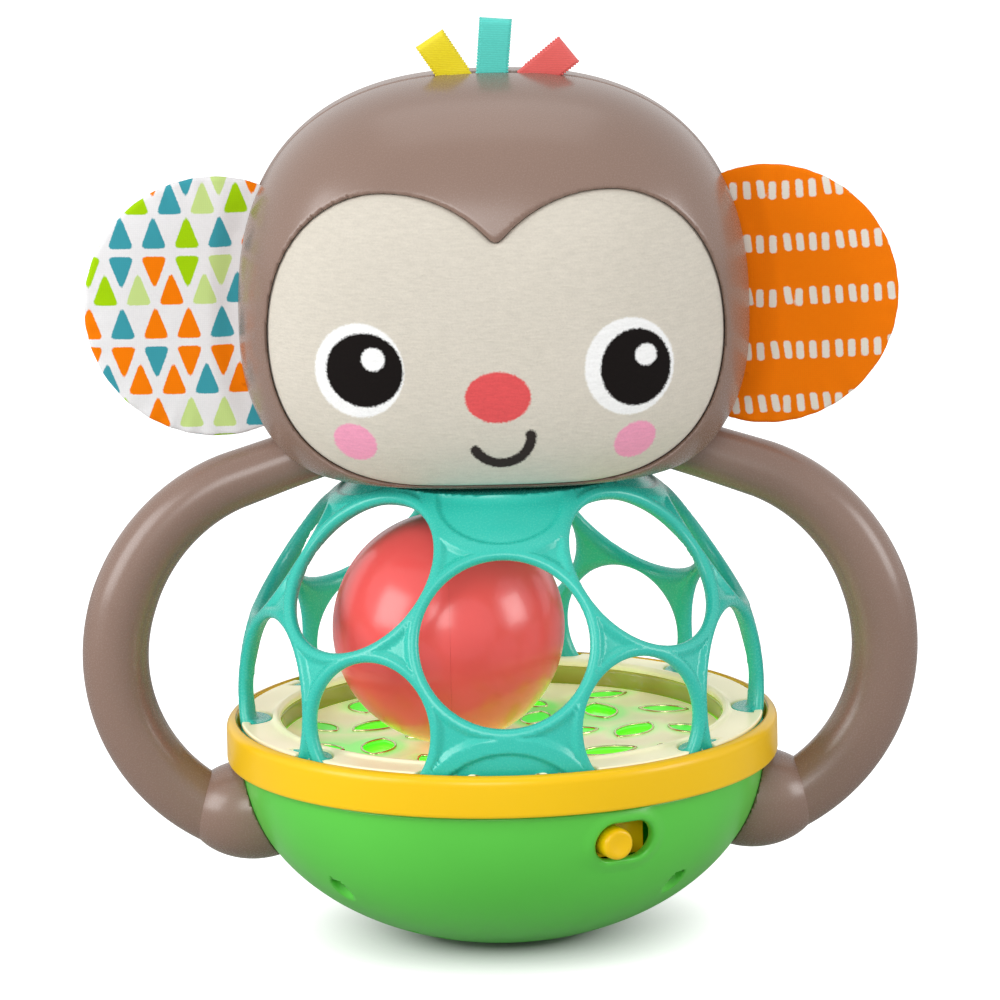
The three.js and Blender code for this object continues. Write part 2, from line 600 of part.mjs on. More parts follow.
// Amber light tray, with standoffs for the board and a seat for the speaker underneath
const boardCorners = [-1, 1].map((side) => [
  BOARD_CENTRE[0] + side * (BOARD_SIZE[0] / 2 - STANDOFF_INSET),
  BOARD_CENTRE[1] - side * (BOARD_SIZE[1] / 2 - STANDOFF_INSET),
]);
function makeTray() {
  const inner = TRAY_RADIUS - TRAY_WALL;
  const flangeRadius = TRAY_RADIUS + TRAY_FLANGE_WIDTH;
  const flangeTop = TRAY_FLANGE_Z + TRAY_FLANGE;
  let tray = turned([
    [0, TRAY_BASE_Z],
    [TRAY_RADIUS, TRAY_BASE_Z],
    [TRAY_RADIUS, TRAY_FLANGE_Z],
    [flangeRadius, TRAY_FLANGE_Z],
    [flangeRadius, flangeTop],
    [inner, flangeTop],
    [inner, TRAY_FLOOR_Z],
    [0, TRAY_FLOOR_Z],
  ]);
  for (const [x, y] of boardCorners) {
    const standoff = rod(STANDOFF_RADIUS, BOARD_TOP_Z + FIT, TRAY_FLOOR_Z, x, y);
    tray = tray.add(standoff).subtract(rod(SCREW_RADIUS + SCREW_FIT, 0, TRAY_BASE_Z, x, y));
  }
  const [x, y] = SPEAKER_CENTRE;
  const seatInner = SPEAKER_RADIUS + FIT;
  const seatLow = TRAY_BASE_Z - SPEAKER_SEAT_DEPTH;
  const seat = rod(seatInner + SPEAKER_SEAT_WALL, seatLow, TRAY_FLOOR_Z, x, y, ROUND);
  return tray.add(seat.subtract(rod(seatInner, seatLow - FIT, TRAY_BASE_Z, x, y, ROUND)));
}
add("light_tray", makeTray(), 0xb9a52a, 0.25, 0, { transparent: true, opacity: 0.7 });

// Cream collar over the tray's flange, bitten out round the feet of the cage's struts
const strutAzimuths = [0, 50.4, 90, 129.6, 180, 230.4, 270, 309.6];
function makeCollar() {
  const top = COLLAR_Z + COLLAR_THICKNESS;
  const radius = CAGE_RADIUS - CAGE_WALL - COLLAR_MARGIN;
  let collar = rod(radius, COLLAR_Z, top, 0, 0, FINE);
  collar = collar.subtract(rod(TRAY_RADIUS - TRAY_WALL, 0, BIG, 0, 0, FINE));
  for (const azimuth of strutAzimuths) {
    const x = COLLAR_BITE_CIRCLE * Math.sin(rad(azimuth));
    const y = -COLLAR_BITE_CIRCLE * Math.cos(rad(azimuth));
    collar = collar.subtract(rod(COLLAR_BITE_RADIUS, 0, BIG, x, y, ROUND));
  }
  return collar;
}
add("tray_collar", makeCollar(), 0xf0e6cf, 0.5);

// Cream disc on the floor of the tray, with leaf-shaped windows for the light
function makeDisc() {
  const radius = TRAY_RADIUS - TRAY_WALL - FIT;
  const shape = new THREE.Shape().absarc(0, 0, radius, 0, 2 * Math.PI);
  for (let i = 0; i < LEAVES; i++) {
    const turn = (i * 2 * Math.PI) / LEAVES;
    const lean = turn + Math.PI / 3;
    const at = (along, aside) =>
      new THREE.Vector2(
        LEAF_CIRCLE * Math.cos(turn) + along * Math.cos(lean) - aside * Math.sin(lean),
        LEAF_CIRCLE * Math.sin(turn) + along * Math.sin(lean) + aside * Math.cos(lean),
      );
    const tip = at(LEAF_LENGTH / 2, 0);
    const stem = at(-LEAF_LENGTH / 2, 0);
    const left = at(0, LEAF_WIDTH);
    const right = at(0, -LEAF_WIDTH);
    const leaf = new THREE.Path().moveTo(stem.x, stem.y);
    leaf.quadraticCurveTo(left.x, left.y, tip.x, tip.y);
    leaf.quadraticCurveTo(right.x, right.y, stem.x, stem.y);
    shape.holes.push(leaf);
  }
  const options = { depth: DISC_THICKNESS, bevelEnabled: false, curveSegments: 5 };
  const disc = new THREE.ExtrudeGeometry(shape, options);
  return solid(disc.translate(0, 0, DISC_Z));
}
add("window_disc", makeDisc(), 0xe9dfc4, 0.55);

// Circuit board with its light-emitting diodes, screwed up under the tray
const [boardX, boardY] = BOARD_SIZE.map((size) => size / 2);
let board = block(
  [BOARD_CENTRE[0] - boardX, BOARD_CENTRE[1] - boardY, BOARD_TOP_Z - BOARD_THICKNESS],
  [BOARD_CENTRE[0] + boardX, BOARD_CENTRE[1] + boardY, BOARD_TOP_Z],
);
for (const [x, y] of boardCorners) board = board.subtract(rod(SCREW_RADIUS + SCREW_FIT, 0, BIG, x, y));
add("circuit_board", board, 0x2f7d4f, 0.5);
const boardScrewLength = BOARD_THICKNESS + BOARD_DROP - SCREW_COVER;
boardCorners.forEach(([x, y], i) => {
  const seat = BOARD_TOP_Z - BOARD_THICKNESS - FIT;
  add("board_screw_" + (i + 1), screw(boardScrewLength).translate([x, y, seat]), steel, 0.35, 0.9);
});
[-1, 0, 1].forEach((step, i) => {
  const base = BOARD_TOP_Z + FIT;
  const led = turned(
    [
      [0, base],
      [LED_RADIUS + LED_RIM, base],
      [LED_RADIUS + LED_RIM, base + LED_RIM_HEIGHT],
      [LED_RADIUS, base + LED_RIM_HEIGHT],
      [LED_RADIUS, base + LED_HEIGHT - LED_RADIUS],
      [LED_RADIUS * Math.SQRT1_2, base + LED_HEIGHT - LED_RADIUS * (1 - Math.SQRT1_2)],
      [0, base + LED_HEIGHT],
    ],
    SMALL - 2,
  );
  const x = BOARD_CENTRE[0] + (step * BOARD_SIZE[0]) / 3;
  const y = BOARD_CENTRE[1] + (step * BOARD_SIZE[1]) / 3;
  add("led_" + (i + 1), led.translate([x, y, 0]), 0x7be05a, 0.2);
});

// Speaker, cone down, in its seat under the tray
const speakerTop = TRAY_BASE_Z - FIT;
const speakerFace = speakerTop - SPEAKER_HEIGHT;
const speaker = turned(
  [
    [0, speakerFace + SPEAKER_CONE_DEPTH],
    [SPEAKER_RADIUS - SPEAKER_RIM, speakerFace],
    [SPEAKER_RADIUS, speakerFace],
    [SPEAKER_RADIUS, speakerFace + SPEAKER_HEIGHT / 2],
    [SPEAKER_MAGNET_RADIUS, speakerTop - SPEAKER_RIM / 2],
    [SPEAKER_MAGNET_RADIUS, speakerTop],
    [0, speakerTop],
  ],
  ROUND,
);
add("speaker", speaker.translate([SPEAKER_CENTRE[0], SPEAKER_CENTRE[1], 0]), 0x26282b, 0.5, 0.3);

// Switch block behind the slot, and the knob with the plate that keeps it in
const switchBlock = block(
  [-switchHalfWidth, switchBackY, SWITCH_Z - plateHalfHeight],
  [switchHalfWidth, switchBackY + SWITCH_DEPTH, SWITCH_Z + plateHalfHeight],
);
add("switch_block", atSwitch(switchBlock), 0x2e3134, 0.5);
function makeKnob() {
  const tip = -bowlRadiusAt(SWITCH_Z, 0) - KNOB_REACH;
  const length = switchInnerY - tip;
  const profile = [
    [0, 0],
    [KNOB_RADIUS, 0],
    [KNOB_RADIUS, length - (KNOB_RADIUS - KNOB_TIP_RADIUS)],
    [KNOB_TIP_RADIUS, length],
    [0, length],
  ];
  const stem = turned(profile, ROUND - 4).rotate([90, 0, 0]);
  const plate = block(
    [-switchHalfWidth, switchInnerY, SWITCH_Z - plateHalfHeight],
    [switchHalfWidth, switchInnerY + KNOB_PLATE, SWITCH_Z + plateHalfHeight],
  );
  return stem.translate([0, switchInnerY + KNOB_PLATE / 2, SWITCH_Z]).add(plate);
}
add("switch_knob", atSwitch(makeKnob().translate([-KNOB_TRAVEL / 2, 0, 0])), 0xf9c804, 0.35);

// Loose ball, moulded in two half shells
const ballX = BALL_ORBIT * Math.cos(rad(BALL_AZIMUTH));
const ballY = BALL_ORBIT * Math.sin(rad(BALL_AZIMUTH));
const ballShell = sphere(BALL_RADIUS, ballX, ballY, BALL_Z, ROUND + 4, ROUND - 4).subtract(
  sphere(BALL_RADIUS - BALL_WALL, ballX, ballY, BALL_Z, ROUND - 4, SMALL - 2),
);
for (const [name, side] of [
  ["ball_left_half", -1],
  ["ball_right_half", 1],
]) {
  const near = ballX + (side * FIT) / 2;
  const far = ballX + side * BIG;
  const space = block([Math.min(near, far), -BIG, -BIG], [Math.max(near, far), BIG, BIG]);
  add(name, ballShell.intersect(space), 0xeb4f4d, 0.2);
}

// Head body, grown or pulled in all round and cut flat at a floor, with a share of its full facets
function headSolid(grow, floor = HEAD_FLOOR_Z - grow, fine = 1) {
  const across = HEAD_ACROSS * fine;
  const deep = 2 * Math.round((HEAD_DEEP * fine) / 2);
  const width = HEAD_HALF_WIDTH + grow;
  const depth = HEAD_HALF_DEPTH + grow;
  const bend = (value, power) => Math.sign(value) * Math.abs(value) ** (2 / power);
  const positions = [0, -depth, HEAD_Z];
  for (let j = 1; j < deep; j++) {
    const tilt = -Math.PI / 2 + (Math.PI * j) / deep;
    const scale = bend(Math.cos(tilt), DEPTH_POWER);
    for (let i = 0; i < across; i++) {
      const turn = (2 * Math.PI * i) / across;
      const crown = Math.sin(turn) > 0;
      const power = crown ? CROWN_POWER : JAW_POWER;
      const height = (crown ? CROWN_HEIGHT : JAW_DEPTH) + grow;
      const x = width * bend(Math.cos(turn), power) * scale;
      const z = HEAD_Z + height * bend(Math.sin(turn), power) * scale;
      positions.push(x, depth * bend(Math.sin(tilt), DEPTH_POWER), z);
    }
  }
  positions.push(0, depth, HEAD_Z);
  const last = positions.length / 3 - 1;
  const index = [];
  for (let i = 0; i < across; i++) {
    const next = (i + 1) % across;
    index.push(0, 1 + i, 1 + next);
    for (let j = 0; j < deep - 2; j++) {
      const ring = 1 + j * across;
      const above = ring + across;
      index.push(ring + i, above + i, above + next, ring + i, above + next, ring + next);
    }
    const end = 1 + (deep - 2) * across;
    index.push(end + i, last, end + next);
  }
  const geometry = new THREE.BufferGeometry();
  geometry.setAttribute("position", new THREE.Float32BufferAttribute(positions, 3));
  geometry.setIndex(index);
  return solid(geometry).subtract(block([-BIG, -BIG, -BIG], [BIG, BIG, floor]));
}

// Heart-topped outline of the face opening
function faceOutline(grow) {
  const wide = FACE_HALF_WIDTH + grow;
  const lobe = HEAD_Z + LOBE_HEIGHT + grow;
  const notch = HEAD_Z + NOTCH_HEIGHT + grow;
  const chin = HEAD_FLOOR_Z + LIP_HEIGHT - grow;
  const middle = HEAD_Z;
  const corner = LOBE_X * 0.7;
  const shape = new THREE.Shape().moveTo(0, notch);
  const curve = (ax, az, bx, bz, x, z) => shape.bezierCurveTo(ax, az, bx, bz, x, z);
  curve(LOBE_X * 0.15, notch + (lobe - notch) * 0.55, LOBE_X * 0.54, lobe, LOBE_X, lobe);
  curve(LOBE_X * 1.6, lobe, wide, middle + LOBE_HEIGHT * 0.6, wide, middle);
  curve(wide, middle - CHIN_HEIGHT * 0.43, wide * 0.86, chin, corner, chin);
  shape.lineTo(-corner, chin);
  curve(-wide * 0.86, chin, -wide, middle - CHIN_HEIGHT * 0.43, -wide, middle);
  curve(-wide, middle + LOBE_HEIGHT * 0.6, -LOBE_X * 1.6, lobe, -LOBE_X, lobe);
  curve(-LOBE_X * 0.54, lobe, -LOBE_X * 0.15, notch + (lobe - notch) * 0.55, 0, notch);
  return shape;
}
function faceSpace(grow) {
  return slab(faceOutline(grow), -BIG, -HEAD_HALF_DEPTH / 3, 7);
}

// Path of the left arm: from the jaw out and down, then round a bend into the hand
class ArmPath extends THREE.Curve {
  constructor() {
    super();
    this.from = rad(90 + ARM_RISE);
    this.to = rad(ARM_END_ANGLE);
    this.tangentX = ARM_BEND_X - ARM_BEND * Math.cos(this.from);
    this.straight = (this.tangentX - ARM_ROOT_X) / Math.cos(rad(ARM_RISE));
    this.total = this.straight + ARM_BEND * (this.to - this.from);
  }
  getPoint(t, target = new THREE.Vector3()) {
    const along = t * this.total - this.straight;
    const angle = this.from + Math.max(along, 0) / ARM_BEND;
    const back = Math.min(along, 0);
    const x = -ARM_BEND_X + ARM_BEND * Math.cos(angle) - back * Math.cos(rad(ARM_RISE));
    const z = ARM_BEND_Z + ARM_BEND * Math.sin(angle) - back * Math.sin(rad(ARM_RISE));
    return target.set(x, 0, z);
  }
}
function armTube(radius, steps, sides) {
  const ring = new THREE.Shape().absarc(0, 0, radius, 0, 2 * Math.PI);
  const options = { steps, extrudePath: new ArmPath(), curveSegments: sides / 2, bevelEnabled: false };
  return solid(new THREE.ExtrudeGeometry(ring, options));
}
function hand(grow) {
  const geometry = new THREE.SphereGeometry(1, ROUND, SMALL);
  geometry.scale(HAND_HALF_WIDTH + grow, HAND_RADIUS + grow, HAND_RADIUS + grow);
  return solid(geometry.translate(-HAND_X, 0, HAND_Z));
}
const armSolid = armTube(ARM_RADIUS, ARM_STEPS, ARM_SIDES).subtract(hand(FIT));
const armSpace = armTube(ARM_RADIUS + FIT, ARM_STEPS, ARM_SIDES);
const armHollow = armTube(ARM_RADIUS - ARM_WALL, ARM_STEPS, ARM_SIDES - 4);
const leftArm = armSolid.subtract(armHollow);
const handBack = bowlSolid(-FIT).add(block([-BIG, -BIG, RING_BASE_Z - FIT], [BIG, BIG, BIG]));
const handScrewReach = bowlRadiusAt(HAND_Z - SCREW_HEAD_RADIUS, BOWL_WALL);
const handScrewHead = -Math.sqrt(handScrewReach ** 2 - SCREW_HEAD_RADIUS ** 2) + 2 * FIT;
const handBore = rod(SCREW_RADIUS + SCREW_FIT, 0, HAND_SCREW_LENGTH + FIT).rotate([0, -90, 0]);
const leftHand = hand(0).subtract(handBack).subtract(handBore.translate([handScrewHead, 0, HAND_Z]));
const handScrew = screw(HAND_SCREW_LENGTH).rotate([0, -90, 0]).translate([handScrewHead, 0, HAND_Z]);
const brown = 0x9a8476;
add("left_arm", leftArm, brown, 0.4);
add("right_arm", mirrored(leftArm), brown, 0.4);
add("left_hand", leftHand, brown, 0.4);
add("right_hand", mirrored(leftHand), brown, 0.4);
add("left_hand_screw", handScrew, steel, 0.35, 0.9);
add("right_hand_screw", mirrored(handScrew), steel, 0.35, 0.9);

// Ears: thin stuffed discs whose clamped roots sit in the seam
function earDisc(radius, thickness) {
  const half = thickness / 2;
  const profile = [
    [0, -half],
    [radius / 2, -half],
    [radius - thickness, -EAR_EDGE],
    [radius, 0],
    [radius - thickness, EAR_EDGE],
    [radius / 2, half],
    [0, half],
  ];
  return turned(profile, FINE - 4).rotate([90, 0, 0]).translate([EAR_X, 0, EAR_Z]);
}
const clothOuter = headSolid(CLOTH_FIT);
const rightEar = earDisc(EAR_RADIUS, EAR_THICKNESS).subtract(clothOuter);
const tabRange = [EAR_Z - EAR_TAB_HALF_HEIGHT, EAR_Z + EAR_TAB_HALF_HEIGHT];
function earTab(grow) {
  const half = EAR_TAB_THICKNESS / 2 + grow;
  const inner = HEAD_HALF_WIDTH - EAR_TAB_DEPTH - grow;
  return block([inner, -half, tabRange[0] - grow], [BIG, half, tabRange[1] + grow]);
}
const rightTab = earTab(0).intersect(headSolid(-FIT / 2));
add("right_ear", rightEar, 0xf37507, 0.9);
add("left_ear", mirrored(rightEar), 0xeeebec, 0.9);
add("right_ear_tab", rightTab, 0xf37507, 0.9);
add("left_ear_tab", mirrored(rightTab), 0xeeebec, 0.9);

// Ribbon strips, each leaning in the plane of the seam, with a tail below the head's surface
function ribbonStrip(ribbon, grow) {
  const half = RIBBON_WIDTH / 2 + grow;
  const thick = RIBBON_THICKNESS / 2 + grow;
  const strip = block([-half, -thick, -RIBBON_TAIL - grow], [half, thick, ribbon.length]);
  const aside = Math.abs(ribbon.x) / HEAD_HALF_WIDTH;
  const surface = HEAD_Z + CROWN_HEIGHT * (1 - aside ** CROWN_POWER) ** (1 / CROWN_POWER);
  return strip.rotate([0, -ribbon.lean, 0]).translate([ribbon.x, 0, surface]);
}
const ribbonInner = headSolid(-FIT / 2);
for (const ribbon of RIBBONS) {
  const strip = ribbonStrip(ribbon, 0);
  add("ribbon_" + ribbon.name, strip.subtract(clothOuter), ribbon.color, 0.6);
  add("ribbon_" + ribbon.name + "_tail", strip.intersect(ribbonInner), ribbon.color, 0.6);
}

// Head shells: front and back halves that meet at the seam and clamp ears, ribbons and arms
const headOuter = headSolid(0);
const headInner = headSolid(-HEAD_WALL, HEAD_FLOOR_Z + HEAD_WALL, INNER_FACETS);
const bosses = [
  [TOP_BOSS_X, HEAD_Z + CROWN_HEIGHT - TOP_BOSS_DROP],
  [-TOP_BOSS_X, HEAD_Z + CROWN_HEIGHT - TOP_BOSS_DROP],
  [LOW_BOSS_X, HEAD_FLOOR_Z + HEAD_BOSS_RADIUS + HEAD_WALL - FIT],
  [-LOW_BOSS_X, HEAD_FLOOR_Z + HEAD_BOSS_RADIUS + HEAD_WALL - FIT],
];
const neckTop = HEAD_FLOOR_Z + NECK_BOSS_HEIGHT;
const neckBosses = neckScrews.map(([x, y]) => rod(COLUMN_RADIUS, HEAD_FLOOR_Z, neckTop, x, y));
const neckBores = neckScrews.map(([x, y]) => rod(SCREW_RADIUS + SCREW_FIT, 0, neckTop - SCREW_COVER, x, y));

function clampPockets(shell) {
  let cut = shell.subtract(armSpace).subtract(mirrored(armSpace));
  cut = cut.subtract(earTab(FIT)).subtract(mirrored(earTab(FIT)));
  for (const ribbon of RIBBONS) cut = cut.subtract(ribbonStrip(ribbon, FIT));
  for (const bore of neckBores) cut = cut.subtract(bore);
  return cut;
}
const seam = FIT / 2;
const frontHalf = block([-BIG, -BIG, -BIG], [BIG, -seam, BIG]);
const rearHalf = block([-BIG, seam, -BIG], [BIG, BIG, BIG]);

function makeFrontShell() {
  let hollow = headInner;
  bosses.forEach(([x, z], i) => {
    const back = i < 2 ? -BIG : -LOW_BOSS_LENGTH;
    hollow = hollow.subtract(crossRod(HEAD_BOSS_RADIUS, back, 0, x, z));
  });
  for (const boss of neckBosses) hollow = hollow.subtract(boss);
  let shell = clampPockets(headOuter.subtract(hollow)).subtract(faceSpace(0));
  for (const [x, z] of bosses) {
    shell = shell.subtract(crossRod(SCREW_RADIUS + SCREW_FIT, -LOW_BOSS_LENGTH + SCREW_COVER, 0, x, z));
  }
  return shell.intersect(frontHalf);
}
function makeRearShell() {
  let hollow = headInner;
  for (const [x, z] of bosses) hollow = hollow.subtract(crossRod(HEAD_BOSS_RADIUS, 0, BIG, x, z));
  for (const boss of neckBosses) hollow = hollow.subtract(boss);
  let shell = clampPockets(headOuter.subtract(hollow));
  for (const [x, z] of bosses) {
    shell = shell.subtract(crossRod(SCREW_HEAD_RADIUS + 2 * SCREW_FIT, HEAD_SCREW_SEAT, BIG, x, z));
    shell = shell.subtract(crossRod(SCREW_RADIUS + SCREW_FIT, 0, BIG, x, z));
  }
  return shell.intersect(rearHalf);
}
add("head_front_shell", makeFrontShell(), brown, 0.45);
add("head_rear_shell", makeRearShell(), brown, 0.45);
const headScrewLength = HEAD_SCREW_SEAT + LOW_BOSS_LENGTH - 2 * SCREW_COVER;
bosses.forEach(([x, z], i) => {
  const body = screw(headScrewLength).rotate([90, 0, 0]);
  add("head_screw_" + (i + 1), body.translate([x, HEAD_SCREW_SEAT + FIT, z]), steel, 0.35, 0.9);
});

// Face: a stiff backing clipped behind the opening, and the plush pad stretched over it
const padBack = PAD_SUNK + PAD_THICKNESS;
const pad = headSolid(-PAD_SUNK).subtract(headSolid(-padBack, 0)).intersect(faceSpace(-FIT));
add("face_pad", pad.intersect(frontHalf), 0xe0d9c9, 0.95);
const backingFront = Math.max(HEAD_WALL, padBack) + FIT;
const backing = headSolid(-backingFront, HEAD_FLOOR_Z + backingFront, INNER_FACETS)
  .subtract(headSolid(-backingFront - BACKING_THICKNESS, 0, INNER_FACETS))
  .intersect(faceSpace(BACKING_MARGIN));
add("face_backing", backing.intersect(frontHalf), 0xd8d2c4, 0.6);

export default toy;
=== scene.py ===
"""Roly-poly activity toy: a monkey head on an openwork ball cage, over a weighted bowl that lights up."""
import math

import bpy
import numpy as np
from mathutils import Matrix, Vector


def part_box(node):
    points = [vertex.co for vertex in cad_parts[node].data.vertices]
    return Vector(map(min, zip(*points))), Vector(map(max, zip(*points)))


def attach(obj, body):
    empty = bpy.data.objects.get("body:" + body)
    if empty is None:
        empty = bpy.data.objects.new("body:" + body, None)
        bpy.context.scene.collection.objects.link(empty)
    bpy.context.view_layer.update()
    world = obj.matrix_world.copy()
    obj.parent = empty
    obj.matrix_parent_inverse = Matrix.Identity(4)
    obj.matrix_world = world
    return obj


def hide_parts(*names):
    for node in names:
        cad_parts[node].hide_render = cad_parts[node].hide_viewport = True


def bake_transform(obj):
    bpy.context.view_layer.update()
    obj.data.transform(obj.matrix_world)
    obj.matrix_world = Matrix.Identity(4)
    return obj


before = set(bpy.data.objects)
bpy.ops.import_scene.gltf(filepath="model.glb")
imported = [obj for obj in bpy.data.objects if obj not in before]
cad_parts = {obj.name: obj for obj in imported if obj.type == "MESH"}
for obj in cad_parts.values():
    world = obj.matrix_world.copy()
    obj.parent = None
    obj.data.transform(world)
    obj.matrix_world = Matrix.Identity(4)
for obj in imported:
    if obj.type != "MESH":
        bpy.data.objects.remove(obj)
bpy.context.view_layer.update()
scene = bpy.context.scene
scene.view_settings.view_transform = "Standard"

# View: a long lens a little above the toy's middle, turned one degree and rolled one degree,
# as a catalogue picture of a toy on a white table is taken.
elevation, azimuth, roll = (math.radians(angle) for angle in (12.1, 1.0, 1.15))
forward = Vector(
    (math.sin(azimuth) * math.cos(elevation), math.cos(azimuth) * math.cos(elevation), -math.sin(elevation))
)
level = Vector((math.cos(azimuth), -math.sin(azimuth), 0))
upright = level.cross(forward)
across = math.cos(roll) * level - math.sin(roll) * upright
above = math.sin(roll) * level + math.cos(roll) * upright
TOY_MIDDLE = Vector((0, 0, 0.090))
EYE_ASIDE, EYE_DROP, EYE_AWAY = 0.00058, 0.00509, 1.6
lens = bpy.data.cameras.new("view")
lens.lens = 300
lens.sensor_width = 36
camera = bpy.data.objects.new("view", lens)
eye = TOY_MIDDLE + EYE_ASIDE * across - EYE_DROP * above - EYE_AWAY * forward
camera.matrix_world = Matrix.Translation(eye) @ Matrix((across, above, -forward)).transposed().to_4x4()
scene.collection.objects.link(camera)
scene.camera = camera


# Table: a wide sheet of white card under soft boxes. Its card shows near white to the eye and keeps the toy's
# shadow, deepened by a painted shade round its foot; the lamps light a surface to about the value of its own colour.
def colour(code):
    """Linear red, green, blue and alpha of an sRGB hex code."""
    parts = [int(code[i : i + 2], 16) / 255 for i in (0, 2, 4)]
    return [p / 12.92 if p <= 0.04045 else ((p + 0.055) / 1.055) ** 2.4 for p in parts] + [1.0]


def feed(node, title, value):
    """Links a socket to a node's input, or sets the input to a plain value."""
    if isinstance(value, bpy.types.NodeSocket):
        node.id_data.links.new(value, node.inputs[title])
    else:
        node.inputs[title].default_value = value


def put(tree, kind, *feeds, **settings):
    """Adds a node with its settings; each feed is an input and the value or socket that goes into it."""
    new = tree.nodes.new(kind)
    for title, value in settings.items():
        setattr(new, title, value)
    for title, value in feeds:
        feed(new, title, value)
    return new


def show(name, points, faces, smooth=True):
    """New object at the origin from points in millimetres."""
    mesh = bpy.data.meshes.new(name)
    mesh.from_pydata((np.asarray(points, float) / 1000).tolist(), [], faces)
    mesh.polygons.foreach_set("use_smooth", [smooth] * len(mesh.polygons))
    thing = bpy.data.objects.new(name, mesh)
    scene.collection.objects.link(thing)
    return thing


# White card: uncoated and matt, with a faint fibre. It is lifted to white for the eye from 44 mm out, less and less
# nearer the toy's middle and not at all within 15 mm, so a painted shade of the card's own grey lies round the toy's
# foot.
CARD_HALF = 6000
card = bpy.data.materials.new("white_card")
card.use_nodes = True
tree = card.node_tree
tree.nodes.clear()
place = put(tree, "ShaderNodeTexCoord").outputs["Object"]
away = put(tree, "ShaderNodeVectorMath", (0, place), operation="LENGTH")
fibre = put(tree, "ShaderNodeTexNoise", ("Vector", place), ("Scale", 900.0))
white = put(
    tree, "ShaderNodeMix", (0, fibre.outputs[0]), (6, colour("c6c6c6")), (7, colour("cccccc")), data_type="RGBA"
)
paper = put(tree, "ShaderNodeBsdfDiffuse", ("Color", white.outputs[2]))
# Painted shade: the lift for the eye fades out between 44 mm and 15 mm from the toy's middle
lift = put(tree, "ShaderNodeMapRange", (0, away.outputs["Value"]), (1, 0.015), (2, 0.044), (3, 0.0), (4, 0.93))
path = put(tree, "ShaderNodeLightPath")
seen = put(tree, "ShaderNodeMath", (0, path.outputs["Is Camera Ray"]), (1, lift.outputs[0]), operation="MULTIPLY")
glow = put(tree, "ShaderNodeEmission", ("Color", colour("ffffff")), ("Strength", seen.outputs[0]))
sheet = put(tree, "ShaderNodeAddShader", (0, paper.outputs[0]), (1, glow.outputs[0]))
put(tree, "ShaderNodeOutputMaterial", ("Surface", sheet.outputs[0]))
corners = [(x * CARD_HALF, y * CARD_HALF, 0) for x, y in ((-1, -1), (1, -1), (1, 1), (-1, 1))]
table = show("table", corners, [(0, 1, 2, 3)])
table.data.materials.append(card)

# White room: the eye, gloss and clear plastic see it white, and it lights the toy at less than half of that
ROOM_LIGHT = 0.41
room = bpy.data.worlds.new("white_room")
room.use_nodes = True
tree = room.node_tree
tree.nodes.clear()
path = put(tree, "ShaderNodeLightPath")
seen = path.outputs["Is Camera Ray"]
for ray in ("Is Glossy Ray", "Is Transmission Ray"):
    seen = put(tree, "ShaderNodeMath", (0, seen), (1, path.outputs[ray]), operation="MAXIMUM").outputs[0]
strength = put(tree, "ShaderNodeMapRange", (0, seen), (3, ROOM_LIGHT), (4, 1.0))
wall = put(tree, "ShaderNodeBackground", ("Color", colour("ffffff")), ("Strength", strength.outputs[0]))
put(tree, "ShaderNodeOutputWorld", ("Surface", wall.outputs[0]))
scene.world = room

for title, place, size, watts in (
    ("left_box", (-1.5, -0.7, 0.75), 1.0, 17.0),
    ("right_box", (1.6, -0.5, 0.6), 0.7, 9.0),
    ("front_box", (-0.3, -1.9, 0.9), 0.8, 11.5),
    ("top_box", (0.0, 0.3, 1.6), 1.2, 4.2),
):
    lamp = bpy.data.lights.new(title, "AREA")
    lamp.size = size
    lamp.energy = watts
    lit = bpy.data.objects.new(title, lamp)
    turn = (Vector(place) - TOY_MIDDLE).to_track_quat("Z", "Y")
    lit.matrix_world = Matrix.Translation(place) @ turn.to_matrix().to_4x4()
    scene.collection.objects.link(lit)


# Bowl: a deep half shell of green ABS, injection moulded, with a small flat foot, four screw wells,
# a slot for the switch, sound holes under the speaker and an opening for the battery door behind.
RIM = 34.7
BOWL_RADIUS = 50.4
BOWL_WALL = 2.5
FOOT_RADIUS = 10
BOWL_DEEP = RIM / math.sqrt(1 - (FOOT_RADIUS / BOWL_RADIUS) ** 2)
WELL_SEAT = RIM - 4
WELL_CIRCLE = 42.2
WELL_RADIUS, WELL_POST_RADIUS, SCREW_HOLE_RADIUS = 2.0, 4.0, 1.6
WEIGHT_POST_RADIUS, WEIGHT_POST_TOP = 3.4, 8
SWITCH_TURN = math.radians(26.5)
SWITCH_Z = RIM - 6.7
SWITCH_TRAVEL = 4.6
SLOT_RADIUS, SLOT_LIP = 3.7, 0.5
DOOR_LOW = (-24.65, 18.0, 10.05)
DOOR_HIGH = (32.4, 90.0, 32.35)
DOOR_SCREW = (28.3, 21.2)
DOOR_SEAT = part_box("door_screw")[1][1] * 1000 - 5.0
SPEAKER = (-15, -15)
SOUND_HOLES, SOUND_CIRCLE, SOUND_RADIUS = 6, 6.0, 1.1


def leaning(degrees):
    """Sine and cosine of an angle in degrees."""
    return math.sin(math.radians(degrees)), math.cos(math.radians(degrees))


WELLS = [(WELL_CIRCLE * s, -WELL_CIRCLE * c) for s, c in (leaning(48), leaning(118))]


def meet(a, b, ease):
    """What lies in both of two fields, with the edge between them eased over a few millimetres."""
    close = np.maximum(ease - np.abs(a - b), 0) / ease
    return np.maximum(a, b) + close * close * ease / 4


def join(a, b, ease):
    """What lies in either of two fields, with the corner between them filled."""
    return -meet(-a, -b, ease)


def ramp(value, start, stop):
    """Smooth rise from 0 to 1 between two values."""
    t = np.clip((value - start) / (stop - start), 0, 1)
    return t * t * (3 - 2 * t)


